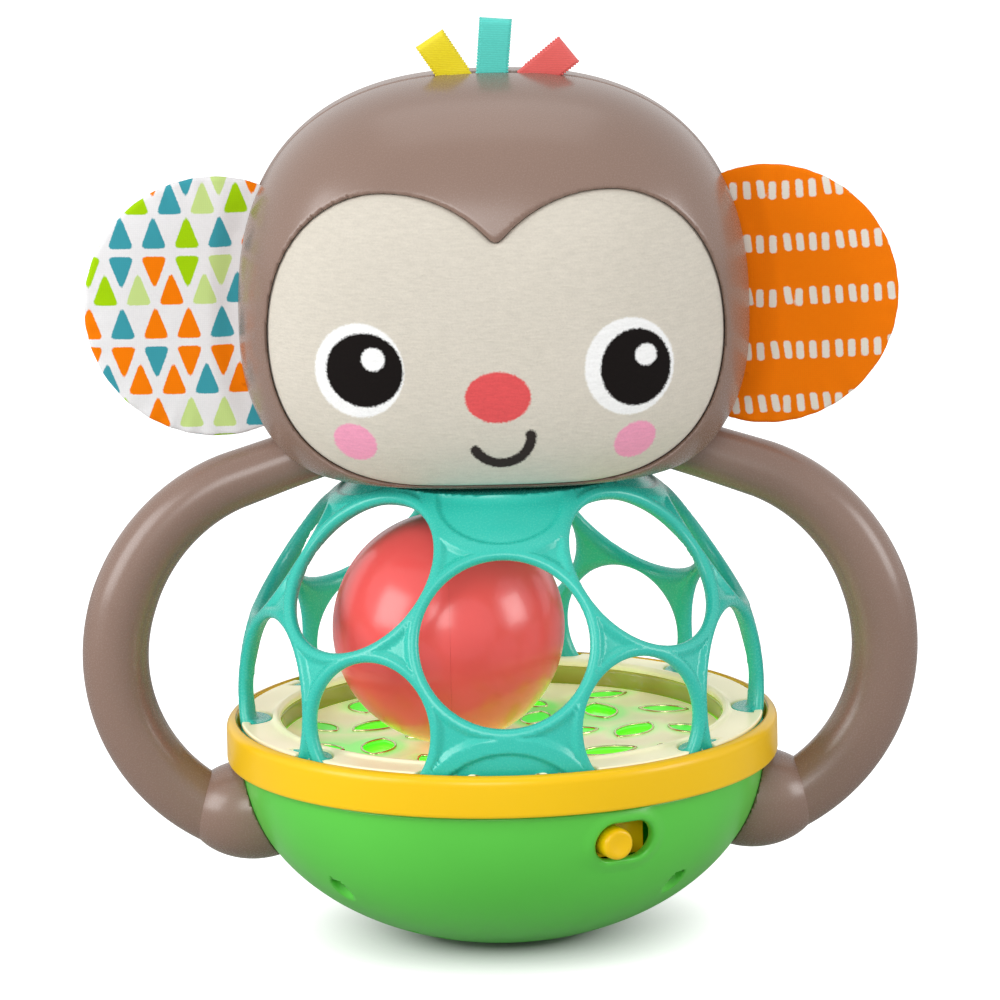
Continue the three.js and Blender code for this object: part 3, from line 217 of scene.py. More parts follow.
def mould(name, field, low, high, step):
    """Closed mesh of the surface where a field of distances in millimetres is zero.

    One point stands in each cell that the surface crosses, and is drawn onto the surface."""
    low, high, step = (np.broadcast_to(np.asarray(v, float), 3) for v in (low, high, step))
    count = np.ceil((high - low) / step).astype(int) + 1
    lines = [low[i] + step[i] * np.arange(count[i]) for i in range(3)]
    spread = np.stack(np.meshgrid(lines[1], lines[2], indexing="ij"), -1).reshape(-1, 2)
    value = np.empty(count)
    for i, x in enumerate(lines[0]):
        value[i] = field(np.column_stack([np.full(len(spread), x), spread])).reshape(count[1:])
    for axis in (0, 1, 2) * 3:
        # A square whose corners alternate would pinch the mesh, so its weakest corner changes sides
        grid = np.moveaxis(value, axis, 2)
        square = np.stack([grid[:-1, :-1], grid[1:, :-1], grid[1:, 1:], grid[:-1, 1:]])
        inside = square < 0
        spot = np.argwhere((inside[0] == inside[2]) & (inside[1] == inside[3]) & (inside[0] != inside[1]))
        weak = np.abs(square[:, spot[:, 0], spot[:, 1], spot[:, 2]]).argmin(0)
        spot[:, :2] += np.array([(0, 0), (1, 0), (1, 1), (0, 1)])[weak]
        grid[tuple(spot.T)] *= -1
    corners = [(a, b, c) for a in (0, 1) for b in (0, 1) for c in (0, 1)]
    cut = [slice(o, n - 1 + o) for o in (0, 1) for n in count]
    eight = [value[tuple(cut[3 * o + axis] for axis, o in enumerate(corner))] for corner in corners]
    inside = sum((part < 0).astype(np.int8) for part in eight)
    crossed = (inside > 0) & (inside < 8)
    cells = np.argwhere(crossed)
    eight = np.stack([part[crossed] for part in eight], 1)
    total = np.zeros((len(cells), 3))
    hits = np.zeros((len(cells), 1))
    for a, near in enumerate(corners):
        for b, far in enumerate(corners):
            if sum(abs(p - q) for p, q in zip(near, far)) == 1 and a < b:
                change = (eight[:, a] < 0) != (eight[:, b] < 0)
                share = eight[:, a] / np.where(change, eight[:, a] - eight[:, b], 1)
                place = np.array(near) + share[:, None] * (np.array(far) - np.array(near))
                total += place * change[:, None]
                hits += change[:, None]
    start = low + step * (cells + total / hits)
    points = start.copy()

    def slope(p):
        return np.stack([field(p + d) - field(p - d) for d in 0.02 * np.eye(3)], 1) / 0.04

    for _ in range(3):
        lean = slope(points)
        points -= (field(points) / np.maximum((lean**2).sum(1), 0.05))[:, None] * lean
        points = np.clip(points, start - 0.8 * step, start + 0.8 * step)
    index = np.full(count - 1, -1)
    index[crossed] = np.arange(len(cells))
    faces = []
    for axis in range(3):
        second, third = (axis + 1) % 3, (axis + 2) % 3
        first = np.moveaxis(value, (axis, second, third), (0, 1, 2))[:, 1:-1, 1:-1] < 0
        number = np.moveaxis(index, (axis, second, third), (0, 1, 2))
        quads = [number[:, :-1, :-1], number[:, 1:, :-1], number[:, 1:, 1:], number[:, :-1, 1:]]
        for way in (1, -1):
            change = (first[:-1] & ~first[1:]) if way > 0 else (~first[:-1] & first[1:])
            faces.append(np.stack([part[change] for part in quads[::way]], 1))
    thing = show(name, points, np.concatenate(faces).tolist())
    lean = slope(points)
    lean /= np.maximum(np.linalg.norm(lean, axis=1), 1e-6)[:, None]
    thing.data.normals_split_custom_set_from_vertices(lean.tolist())
    return thing


def bowl_gap(p, inset):
    """Distance outside the bowl's ellipsoid, pulled in by an inset."""
    r, z = np.hypot(p[:, 0], p[:, 1]), p[:, 2] - RIM
    wide, deep = BOWL_RADIUS - inset, BOWL_DEEP - inset
    size = np.hypot(r / wide, z / deep) + 1e-9
    return (size - 1) * size / (np.hypot(r / wide**2, z / deep**2) + 1e-6)


def switch_frame(p):
    """Sideways and inward distances at the switch, which is turned from the front of the bowl."""
    side = p[:, 0] * math.cos(SWITCH_TURN) + p[:, 1] * math.sin(SWITCH_TURN)
    inward = p[:, 1] * math.cos(SWITCH_TURN) - p[:, 0] * math.sin(SWITCH_TURN)
    return side, inward


def box_gap(p, low, high):
    """Distance outside a box between two corners."""
    return np.max([np.maximum(low[i] - p[:, i], p[:, i] - high[i]) for i in range(3)], axis=0)


def bowl_field(p):
    """Bowl: its wall, posts for the screws, wells, slot with a soft lip, door opening and sound holes."""
    x, y, z = np.abs(p[:, 0]), p[:, 1], p[:, 2]
    hollow = meet(bowl_gap(p, BOWL_WALL), BOWL_WALL - z, 1.5)
    wells = [np.hypot(x - wx, y - wy) for wx, wy in WELLS]
    for well in wells:
        hollow = meet(hollow, WELL_POST_RADIUS - well, 1)
    hollow = meet(hollow, np.minimum(WEIGHT_POST_RADIUS - np.hypot(x, y), WEIGHT_POST_TOP - z), 1)
    side, inward = switch_frame(p)
    slot = np.hypot(np.maximum(np.abs(side) - SWITCH_TRAVEL / 2, 0), z - SWITCH_Z) - SLOT_RADIUS
    lip = SLOT_LIP * (1 - ramp(slot, 0.4, 3.2)) * (inward < -30)
    shell = meet(meet(bowl_gap(p, 0) - lip, -z, 1), -hollow, 0.6)
    shell = meet(shell, z - RIM, 0.8)
    for well in wells:
        shell = meet(shell, -np.maximum(well - WELL_RADIUS, z - WELL_SEAT), 0.5)
        shell = np.maximum(shell, SCREW_HOLE_RADIUS - well)
    shell = meet(shell, -np.maximum(slot, inward + 30), 1.3)
    shell = meet(shell, -box_gap(p, DOOR_LOW, DOOR_HIGH), 0.5)
    for turn in np.arange(SOUND_HOLES) * 2 * math.pi / SOUND_HOLES:
        at_x, at_y = SPEAKER[0] + SOUND_CIRCLE * math.cos(turn), SPEAKER[1] + SOUND_CIRCLE * math.sin(turn)
        hole = np.hypot(p[:, 0] - at_x, y - at_y) - SOUND_RADIUS
        shell = meet(shell, -np.maximum(hole, z - 12), 0.4)
    return shell


def finish(name):
    """New material, with its tree, its shader and the piece's own coordinates in metres."""
    made = bpy.data.materials.new(name)
    made.use_nodes = True
    made.node_tree.nodes.clear()
    shader = put(made.node_tree, "ShaderNodeBsdfPrincipled")
    put(made.node_tree, "ShaderNodeOutputMaterial", ("Surface", shader.outputs[0]))
    return made, made.node_tree, shader, put(made.node_tree, "ShaderNodeTexCoord").outputs["Object"]


def settle(shader, **values):
    """Feeds the shader's own sockets; what is the same all over a finish goes there as a plain value."""
    for title, value in values.items():
        feed(shader, title.replace("_", " "), value)


def mottled(name, dark, light, scale, detail=2.0):
    """Finish whose colour drifts between two shades along a noise, which is given too."""
    made, tree, shader, place = finish(name)
    drift = put(tree, "ShaderNodeTexNoise", ("Vector", place), ("Scale", scale), ("Detail", detail)).outputs[0]
    tint = put(tree, "ShaderNodeMix", (0, drift), (6, dark), (7, light), data_type="RGBA")
    settle(shader, Base_Color=tint.outputs[2])
    return made, tree, shader, place, drift


def roughen(shader, noise, low, high, relief=0.0, depth=0.0):
    """Lets a noise break up the gloss and, where a depth in metres is given, the surface."""
    gloss = put(shader.id_data, "ShaderNodeMapRange", (0, noise), (3, low), (4, high))
    settle(shader, Roughness=gloss.outputs[0])
    if depth:
        bump = put(shader.id_data, "ShaderNodeBump", ("Strength", relief), ("Distance", depth), ("Height", noise))
        settle(shader, Normal=bump.outputs[0])


def shades(code, down, up):
    """A darker and a lighter shade of one colour."""
    base = colour(code)[:3]
    return [c * down for c in base] + [1], [min(c * up, 1) for c in base] + [1]


def plastic(name, dark, light, rough, grain, drift=40.0, relief=0.05, ior=1.53):
    """Injection-moulded plastic: colour that drifts over some 25 mm, and a spark-eroded grain of a size in
    millimetres that breaks up the gloss."""
    made, tree, shader, place, _ = mottled(name, dark, light, drift)
    speck = put(tree, "ShaderNodeTexNoise", ("Vector", place), ("Scale", 1000 / grain), ("Detail", 2.0))
    roughen(shader, speck.outputs[0], rough - 0.03, rough + 0.03, relief, 0.00004)
    settle(shader, IOR=ior)
    return made


def moulded(name, code, rough, grain=0.3, ior=1.53):
    """Moulded plastic that keeps within 5% of one colour."""
    return plastic(name, *shades(code, 0.95, 1.05), rough, grain, ior=ior)


def fit(thing, made, body, slot, *nodes):
    """Gives a piece its material and body, and puts it in place of CAD nodes."""
    thing.data.materials.clear()
    thing.data.materials.append(made)
    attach(thing, body)
    if nodes:
        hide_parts(*nodes)


# Green ABS: a satin gloss with soft broad highlights, from a mould that was lightly textured
green_abs = moulded("abs_green", "5bd045", 0.3)
bowl = mould("bowl_shell", bowl_field, (-51.5, -51.5, -1), (51.5, 51.5, 35.6), 0.61)
fit(bowl, green_abs, "toy_body", "green_abs", "bowl")


# Battery door: a panel of the same green ABS, cut to the bowl's curve, with one screw at its side.
# It stands 0.3 mm clear of its opening all round, and the screw's head lies in a counterbore.
DOOR_CLEAR = 0.3
DOOR_BOSS_RADIUS, DOOR_BOSS_WALL, DOOR_BORE_RADIUS = 3.7, 1.5, 2.4


def door_field(p):
    """Door: its panel, the boss behind it and the screw's counterbore."""
    shell = meet(bowl_gap(p, 0), -bowl_gap(p, BOWL_WALL), 0.5)
    low = [v + DOOR_CLEAR for v in DOOR_LOW]
    high = [v - DOOR_CLEAR for v in DOOR_HIGH]
    bore = np.hypot(p[:, 0] - DOOR_SCREW[0], p[:, 2] - DOOR_SCREW[1])
    boss = np.maximum(bore - DOOR_BOSS_RADIUS, DOOR_SEAT - DOOR_BOSS_WALL - p[:, 1])
    boss = np.maximum(boss, bowl_gap(p, 0.3))
    panel = join(meet(shell, box_gap(p, low, high), 0.6), boss, 0.5)
    panel = meet(panel, -np.maximum(bore - DOOR_BORE_RADIUS, DOOR_SEAT - p[:, 1]), 0.5)
    return np.maximum(panel, SCREW_HOLE_RADIUS - bore)


door = mould("door_panel", door_field, (-26, 17, 9), (34, 52, 34), 0.55)
fit(door, green_abs, "door", "green_abs", "battery_door")


# Screws: zinc-plated self-tappers with domed heads and cross recesses. Four hold the bowl from below,
# four close the head from behind and one holds the battery door.
SCREW_HEAD_RADIUS = 1.9
SHANK_RADIUS = 1.3
CROSS_HALF_WIDTH, CROSS_REACH, CROSS_FLOOR = 0.32, 1.2, 0.7


def screw_field(p):
    """Screw's head, standing on z = 0, with its cross recess."""
    x, y, z = np.abs(p[:, 0]), np.abs(p[:, 1]), p[:, 2]
    r = np.hypot(x, y)
    dome = meet(np.hypot(r, z + 1.6) - 3.2, meet(r - SCREW_HEAD_RADIUS, -z, 0.3), 0.3)
    bars = [np.maximum(a - CROSS_HALF_WIDTH, b - CROSS_REACH) for a, b in ((x, y), (y, x))]
    return meet(dome, -np.maximum(np.minimum(*bars) + 0.25 * (1.6 - z), CROSS_FLOOR - z), 0.15)


def node_tree(name, sockets):
    """New Geometry Nodes tree with named inputs, and the identifiers of those inputs."""
    tree = bpy.data.node_groups.new(name, "GeometryNodeTree")
    names = {}
    for title, kind in sockets:
        names[title] = tree.interface.new_socket(title, in_out="INPUT", socket_type="NodeSocket" + kind).identifier
    tree.interface.new_socket("Mesh", in_out="OUTPUT", socket_type="NodeSocketGeometry")
    return tree, put(tree, "NodeGroupInput").outputs, names


def tree_end(tree, shape, material):
    """Ends a tree: its copies become plain mesh of one material."""
    real = put(tree, "GeometryNodeRealizeInstances", ("Geometry", shape))
    coat = put(tree, "GeometryNodeSetMaterial", ("Geometry", real.outputs[0]), ("Material", material))
    put(tree, "NodeGroupOutput", ("Mesh", coat.outputs[0]))


def grown(name, base, tree, names, **values):
    """Plain mesh object of what a tree makes from a base object, which is then removed."""
    modifier = base.modifiers.new(name, "NODES")
    modifier.node_group = tree
    for title, value in values.items():
        modifier[names[title.replace("_", " ")]] = value
    bpy.context.view_layer.update()
    graph = bpy.context.evaluated_depsgraph_get()
    mesh = bpy.data.meshes.new_from_object(base.evaluated_get(graph), depsgraph=graph)
    base.modifiers.remove(modifier)
    bpy.data.objects.remove(base)
    thing = bpy.data.objects.new(name, mesh)
    scene.collection.objects.link(thing)
    return thing


# Zinc-plated steel: a cool grey metal, bright and dull in flecks of half a millimetre
steel, _, shader, _, fleck = mottled("zinc_plated_steel", colour("a8abb0"), colour("c0c2c3"), 1800.0, 3.0)
settle(shader, Metallic=1.0)
roughen(shader, fleck, 0.25, 0.45)

head_pattern = mould("screw_head", screw_field, (-2.5, -2.5, -0.4), (2.5, 2.5, 2), 0.16)
screw_tree, given, screw_names = node_tree(
    "screws_on_seats",
    [("Seats", "Geometry"), ("Head", "Object"), ("Shank", "Float"), ("Shank radius", "Float"), ("Metal", "Material")],
)
head = put(screw_tree, "GeometryNodeObjectInfo", ("Object", given["Head"]))
half = put(screw_tree, "ShaderNodeMath", (0, given["Shank"]), (1, -0.5), operation="MULTIPLY")
down = put(screw_tree, "ShaderNodeCombineXYZ", ("Z", half.outputs[0]))
shank = put(
    screw_tree,
    "GeometryNodeMeshCylinder",
    ("Vertices", 20),
    ("Radius", given["Shank radius"]),
    ("Depth", given["Shank"]),
)
shank = put(screw_tree, "GeometryNodeTransform", ("Geometry", shank.outputs[0]), ("Translation", down.outputs[0]))
whole = put(screw_tree, "GeometryNodeJoinGeometry")
for part in (head.outputs["Geometry"], shank.outputs[0]):
    screw_tree.links.new(part, whole.inputs[0])
aim = put(screw_tree, "GeometryNodeInputNamedAttribute", ("Name", "aim"), data_type="FLOAT_VECTOR")
turn = put(screw_tree, "FunctionNodeAlignRotationToVector", ("Vector", aim.outputs[0]), axis="Z")
copies = put(
    screw_tree,
    "GeometryNodeInstanceOnPoints",
    ("Points", given["Seats"]),
    ("Instance", whole.outputs[0]),
    ("Rotation", turn.outputs[0]),
)
tree_end(screw_tree, copies.outputs[0], given["Metal"])


def drive(name, seats, aim, shank, body, nodes):
    """Screws with their heads on given seats, facing along aim."""
    base = show(name + "_seats", seats, [])
    base.data.attributes.new("aim", "FLOAT_VECTOR", "POINT").data.foreach_set("vector", list(aim) * len(seats))
    sizes = {"Head": head_pattern, "Shank": shank / 1000, "Shank_radius": SHANK_RADIUS / 1000}
    made = grown(name, base, screw_tree, screw_names, Metal=steel, **sizes)
    fit(made, steel, body, "steel", *nodes)


HEAD_FLOOR = 91.536
HEAD_Z = HEAD_FLOOR + 30
HEAD_BOSSES = [(22, HEAD_Z + 37), (24.5, HEAD_FLOOR + 6.1)]
HEAD_SEAT = 9.0
BOWL_SHANK, HEAD_SHANK, DOOR_SHANK = 5.9, 20, 8
downward, backward = (0, 0, -1), (0, 1, 0)
well_seats = [(side * x, y, WELL_SEAT - 0.3) for x, y in WELLS for side in (1, -1)]
drive("bowl_screws", well_seats, downward, BOWL_SHANK, "toy_body", [f"base_screw_{i}" for i in (1, 2, 3, 4)])
head_seats = [(side * x, HEAD_SEAT + 0.3, z) for x, z in HEAD_BOSSES for side in (1, -1)]
drive("head_screws", head_seats, backward, HEAD_SHANK, "toy_body", [f"head_screw_{i}" for i in (1, 2, 3, 4)])
door_seat = [(DOOR_SCREW[0], DOOR_SEAT, DOOR_SCREW[1])]
drive("door_screw_turned", door_seat, backward, DOOR_SHANK, "door", ["door_screw"])
bpy.data.objects.remove(head_pattern)


# Works in the bowl: cast iron weight, battery box with two dry cells and their contacts, switch block
# and the fasteners that only show when the toy is taken apart.
def dress(made, *names):
    """Gives CAD nodes that keep their own shape a material."""
    for name in names:
        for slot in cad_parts[name].material_slots:
            slot.material = made


# Bare cast iron: dark grey and dull, with the pits of a sand mould
iron, _, shader, _, pits = mottled("cast_iron_bare", colour("55575a"), colour("8b8d90"), 700.0, 5.0)
settle(shader, Metallic=0.9)
roughen(shader, pits, 0.45, 0.7, 0.5, 0.0002)
dress(iron, "counterweight")
dress(steel, "weight_screw", "left_hand_screw", "right_hand_screw", "contact_left", "contact_right")
dress(steel, *[f"neck_screw_{i}" for i in (1, 2, 3, 4)], "board_screw_1", "board_screw_2")
# Dark grey ABS: a dull, plain plastic of inner parts
dark = moulded("abs_dark_grey", "2e3134", 0.5)
dress(dark, "battery_box", "switch_block", "speaker")
# Printed cell wrap: shrunk film in two colours, blue with a gold end, with a metal gleam under it
wrap, tree, shader, place = finish("printed_cell_wrap")
bands = put(tree, "ShaderNodeSeparateXYZ", (0, place))
end = put(tree, "ShaderNodeMath", (0, bands.outputs[0]), (1, 0.013), operation="GREATER_THAN")
shade = put(
    tree, "ShaderNodeMix", (0, end.outputs[0]), (6, colour("3a6ea5")), (7, colour("c9a04b")), data_type="RGBA"
)
settle(shader, Base_Color=shade.outputs[2])
film = put(tree, "ShaderNodeTexNoise", ("Vector", place), ("Scale", 500.0), ("Detail", 2.0))
roughen(shader, film.outputs[0], 0.28, 0.42)
settle(shader, Metallic=0.3)
dress(wrap, "battery_lower", "battery_upper")


# Switch knob: a yellow ABS button with a dished end on a plate that slides behind the slot.
# The plate keeps it from falling out and covers the slot.
KNOB_RADIUS, KNOB_END = 3.05, 51.6
DISH_RADIUS, DISH_AWAY = 4.5, 55.8
PLATE_HALF = (9.4, 4.2, 0.6)
PLATE_AWAY = 42.9


def knob_field(p):
    """Knob at the left end of its travel: a button with a dish in its end, on a plate."""
    side, inward = switch_frame(p)
    side, z = side + SWITCH_TRAVEL / 2, p[:, 2] - SWITCH_Z
    r = np.hypot(side, z)
    stem = meet(np.maximum(r - KNOB_RADIUS, inward + PLATE_AWAY - 0.3), -KNOB_END - inward, 1.2)
    stem = meet(stem, DISH_RADIUS - np.hypot(r, inward + DISH_AWAY), 0.5)
    plate = box_gap(np.column_stack([side, z, inward + PLATE_AWAY]), [-h for h in PLATE_HALF], PLATE_HALF)
    return join(stem, plate, 0.4)


# Yellow ABS: the same satin gloss, a little weaker, so that its warm colour stays deep
yellow_abs = moulded("abs_yellow", "ffc900", 0.3, ior=1.42)
low, high = (np.array(c) * 1000 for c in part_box("switch_knob"))
knob = mould("knob_button", knob_field, low - 2, high + 2, 0.3)
fit(knob, yellow_abs, "switch_slider", "yellow_abs", "switch_knob")


# Rim ring: a yellow ABS hoop with rounded edges that hides the joint of bowl and cage.
# It is clamped between them by the four bowl screws.
def eased(corners, steps=5):
    """Closed outline of (radius, height, rounding) corners with each corner rounded."""
    outline = []
    for i, (r, z, ease) in enumerate(corners):
        here = np.array((r, z), float)
        before, after = (np.array(corners[(i + s) % len(corners)][:2]) - here for s in (-1, 1))
        if ease == 0:
            outline.append(here)
            continue
        before, after = before / np.linalg.norm(before), after / np.linalg.norm(after)
        reach = ease / math.tan(math.acos(np.clip(before @ after, -1, 1)) / 2)
        start, stop = here + before * reach, here + after * reach
        for t in np.linspace(0, 1, steps):
            outline.append((1 - t) ** 2 * start + 2 * t * (1 - t) * here + t * t * stop)
    return outline


def spun(name, outline, turns=144, place=(0, 0, 0), axis="Z"):
    """Closed outline of (radius, height) points turned round an axis; points on the axis are shared."""
    points, rows = [], []
    for r, h in outline:
        if r < 1e-6:
            rows.append([len(points)] * turns)
            points.append((0, 0, h))
        else:
            rows.append(list(range(len(points), len(points) + turns)))
            points += [(r * math.cos(a), r * math.sin(a), h) for a in np.arange(turns) * 2 * math.pi / turns]
    faces = []
    for low, high in zip(rows, rows[1:] + rows[:1]):
        for i in range(turns):
            j = (i + 1) % turns
            face = list(dict.fromkeys((low[i], low[j], high[j], high[i])))
            if len(face) > 2:
                faces.append(face)
    points = np.array(points)
    if axis == "X":
        points = points[:, [2, 0, 1]]
    return show(name, points + np.array(place), faces)


RING_CORNERS = [
    (47.6, 35.0, 0.3),
    (53.2, 35.0, 0.9),
    (53.2, 43.0, 1.9),
    (51.1, 43.0, 0.5),
    (51.1, 36.6, 0.3),
    (47.6, 36.6, 0.3),
]
ring = spun("rim_hoop", eased(RING_CORNERS, 9), 192)
fit(ring, yellow_abs, "toy_body", "yellow_abs", "rim_ring")


# Cage: one soft moulding of teal plastic, round holes in the layout of a soccer ball with an eased
# collar round each, dimples where three collars meet, closed places under the head and over the ring.
CAGE_RADIUS = 50.8
CAGE_WALL = 3.3
CAGE_Z = 47.3
HOLES_Z = 49.9
WIDE, NARROW = 16.0, 12.6
DIMPLE = 0.8
CROWN_RADIUS, CROWN_BASE, CROWN_TOP, CROWN_HOLE = 25.5, 88.6, 91.236, 12
SKIRT_FOOT, SKIRT_TOP = 36.9, 40.9
BAND_INNER, BAND_OUTER, BAND_Z, BAND_HALF = 45.6, 49.2, 40, 0.9
TAB_CIRCLE, TAB_RADIUS, TAB_OUTER, TAB_Z, TAB_HALF = 50.5, 6.2, 48.5, 41.5, 1.5
TABS = [(TAB_CIRCLE * s, TAB_CIRCLE * c) for s, c in map(leaning, (0, 50.4, 90))]
GOLD = (1 + math.sqrt(5)) / 2
OPEN = [
    ((0, GOLD, 1 / GOLD), WIDE),
    ((1, 1, 1), WIDE),
    ((GOLD, 1 / GOLD, 0), WIDE),
    ((GOLD, 0, 1), NARROW),
    ((1, GOLD, 0), NARROW),
]
SHUT = [
    ((0, 1, GOLD), NARROW),
    ((1 / GOLD, 0, GOLD), WIDE),
    ((0, GOLD, -1 / GOLD), WIDE),
    ((1, 1, -1), WIDE),
    ((GOLD, 0, -1), NARROW),
]


def edge_gap(q, places):
    """Distance outside the nearest of some round places on the cage."""
    least = np.full(len(q), 99.0)
    for direction, radius in places:
        axis = np.array(direction) / np.linalg.norm(direction)
        along = q @ axis
        away = np.sqrt(np.maximum((q * q).sum(1) - along**2, 0)) - radius
        least = np.minimum(least, np.where(along > 0, away, 99))
    return least


def cage_field(p):
    """Cage: a pierced shell with a skirt, a narrow band with tabs at its foot, and a crown plate."""
    x, y, z = np.abs(p[:, 0]), np.abs(p[:, 1]), p[:, 2]
    q = np.column_stack([x, y, z - HOLES_Z])
    hole, panel = edge_gap(q, OPEN), edge_gap(q, SHUT)
    dimple = DIMPLE * (ramp(np.minimum(hole, panel), 1.9, 3.0) + ramp(-panel, 0.2, 1.6))
    r = np.sqrt(x * x + y * y + (z - CAGE_Z) ** 2)
    flat = np.hypot(x, y)
    shell = np.maximum(r - CAGE_RADIUS + dimple, CAGE_RADIUS - CAGE_WALL - r)
    body = meet(shell, -hole, 2.2)
    body = join(body, np.maximum(shell, z - SKIRT_TOP), 0.8)
    band = np.maximum(np.maximum(flat - BAND_OUTER, BAND_INNER - flat), np.abs(z - BAND_Z) - BAND_HALF)
    body = join(body, band, 0.8)
    for tab_x, tab_y in TABS:
        tab = np.maximum(np.hypot(x - tab_x, y - tab_y) - TAB_RADIUS, flat - TAB_OUTER)
        body = join(body, meet(tab, np.abs(z - TAB_Z) - TAB_HALF, 0.5), 0.6)
    body = join(body, np.maximum(flat - CROWN_RADIUS, CROWN_BASE - z), 1.5)
    body = np.maximum(body, CROWN_HOLE - flat)
    return meet(np.maximum(body, z - CROWN_TOP), SKIRT_FOOT - z, 0.4)


# Thermoplastic elastomer: a soft plastic with a waxy gloss, so that each collar shows a bright edge
teal_shades = colour("2cc0ad"), colour("3bcdbb")
teal = plastic("teal_thermoplastic_elastomer", *teal_shades, 0.27, 0.3846, drift=35.0, relief=0.04, ior=1.5)
cage = mould("cage_moulding", cage_field, (-51.6, -51.6, 36), (51.6, 51.6, 92), 0.58)
fit(cage, teal, "toy_body", "teal_flex", "cage")


# Light tray: clear amber plastic, moulded as a shallow dish whose flange lies on the cage's foot.
# Its floor has a painted green glow, where the lamps on the board under it would shine through.
TRAY_WALL_RADIUS = 42.8
TRAY_FLOOR = 37.8
# Amber polycarbonate: clear and glossy, olive in the wall, with a painted highlight that pales it in patches towards
# the rim. Its floor's upper face has a painted green glow in patches, and the wall only a faint one.
amber, tree, shader, place = finish("amber_polycarbonate")
settle(shader, Roughness=0.15, IOR=1.58, Transmission_Weight=0.35, Emission_Color=colour("30d820"))
height = put(tree, "ShaderNodeSeparateXYZ", (0, place))
ripple = put(tree, "ShaderNodeTexNoise", ("Vector", place), ("Scale", 90.0), ("Detail", 1.0))
# Painted highlight: the colour pales towards the rim, in patches of the noise
edge = put(tree, "ShaderNodeMapRange", (0, height.outputs[2]), (1, 0.0385), (2, 0.0418))
cast = put(tree, "ShaderNodeMath", (0, ripple.outputs[0]), (1, edge.outputs[0]), operation="MULTIPLY")
resin_and_painted_highlight = put(
    tree, "ShaderNodeMix", (0, cast.outputs[0]), (6, colour("b3a01c")), (7, colour("ffee9a")), data_type="RGBA"
)
settle(shader, Base_Color=resin_and_painted_highlight.outputs[2])
# Painted glow: green emission in patches on the floor's upper face, faint on the wall
spot = put(tree, "ShaderNodeMapRange", (0, ripple.outputs[0]), (1, 0.3), (2, 0.7), (3, 0.6), (4, 1.4))
fall = put(tree, "ShaderNodeMapRange", (0, height.outputs[2]), (1, 0.0379), (2, 0.0386), (3, 1.2), (4, 0.05))
top = put(tree, "ShaderNodeMapRange", (0, height.outputs[2]), (1, 0.0367), (2, 0.0373))
painted_glow = put(tree, "ShaderNodeMath", (0, fall.outputs[0]), (1, spot.outputs[0]), operation="MULTIPLY")
painted_glow = put(tree, "ShaderNodeMath", (0, painted_glow.outputs[0]), (1, top.outputs[0]), operation="MULTIPLY")
settle(shader, Emission_Strength=painted_glow.outputs[0])
TRAY_CORNERS = [
    (0, 36.4, 0),
    (44.0, 36.4, 0.8),
    (44.0, 41.2, 0.3),
    (45.4, 41.2, 0.2),
    (45.4, 41.9, 0.2),
    (TRAY_WALL_RADIUS, 41.9, 0.5),
    (TRAY_WALL_RADIUS, TRAY_FLOOR, 0.8),
    (0, TRAY_FLOOR, 0),
]
tray = spun("tray_dish", eased(TRAY_CORNERS), 160)
fit(tray, amber, "toy_body", "amber_tray", "light_tray")


# Collar and window disc: cream translucent trims. The collar lies between the struts' feet and has a
# bead round the tray; the disc on the tray's floor has nine leaf windows and thinner painted leaves, all with a
# painted green glow.
# Each ring of leaves has a count, a circle, a lean, a length and half a width.
LEAVES = ((9, 25.5, 60, 12.5, 3.2), (13, 36.0, -40, 9.6, 2.6), (6, 13.5, 15, 10.5, 2.8))
COLLAR_OUTER, COLLAR_Z, COLLAR_HALF = 50.4, 42.65, 0.45
BEAD_CIRCLE, BEAD_Z, BEAD_RADIUS = 43.6, 42.9, 0.75
DISC_Z, DISC_HALF = 38.4, 0.3


def collar_field(p):
    """Collar: a flat ring with a bead, cut back 0.25 mm from the cage."""
    r, z = np.hypot(p[:, 0], p[:, 1]), p[:, 2]
    plate = np.maximum(r - COLLAR_OUTER, TRAY_WALL_RADIUS - r)
    plate = meet(plate, np.abs(z - COLLAR_Z) - COLLAR_HALF, 0.4)
    bead = np.hypot(r - BEAD_CIRCLE, z - BEAD_Z) - BEAD_RADIUS
    return meet(join(plate, bead, 0.5), 0.25 - cage_field(p), 0.3)


def leaf_bow(length, half):
    """Radius of a leaf's two bowed sides."""
    return (length**2 / 4 + half**2) / (2 * half)


def leaf_gap(p, count, circle, lean, length, half):
    """Distance outside the nearest of a ring of leaves, each leaning across its radius."""
    sector = 2 * math.pi / count
    turn = (np.arctan2(p[:, 1], p[:, 0]) + sector / 2) % sector - sector / 2
    r = np.hypot(p[:, 0], p[:, 1])
    x, y = r * np.cos(turn) - circle, r * np.sin(turn)
    (s, c), bow = leaning(lean), leaf_bow(length, half)
    return np.hypot(x * c + y * s, np.abs(y * c - x * s) + bow - half) - bow


def disc_field(p):
    """Disc, 0.3 mm clear of the tray's wall, with one ring of its leaves cut through."""
    flat = np.maximum(np.hypot(p[:, 0], p[:, 1]) - TRAY_WALL_RADIUS + 0.3, -leaf_gap(p, *LEAVES[0]))
    return meet(flat, np.abs(p[:, 2] - DISC_Z) - DISC_HALF, 0.25)


def points_of(thing):
    """Points of a piece in millimetres."""
    flat = np.empty(3 * len(thing.data.vertices))
    thing.data.vertices.foreach_get("co", flat)
    return 1000 * flat.reshape(-1, 3)


def prints_and_painted_light_on(thing, **gaps):
    """Keeps each print's distance in millimetres on the points of a piece, and each painted light's too."""
    for title, gap in gaps.items():
        thing.data.attributes.new(title, "FLOAT", "POINT").data.foreach_set("value", gap.astype(np.float32))


collar = mould("collar_trim", collar_field, (-51, -51, 41.8), (51, 51, 44.2), (0.6, 0.6, 0.24))
disc = mould("leaf_disc", disc_field, (-43.5, -43.5, 37.7), (43.5, 43.5, 39.1), (0.5, 0.5, 0.16))
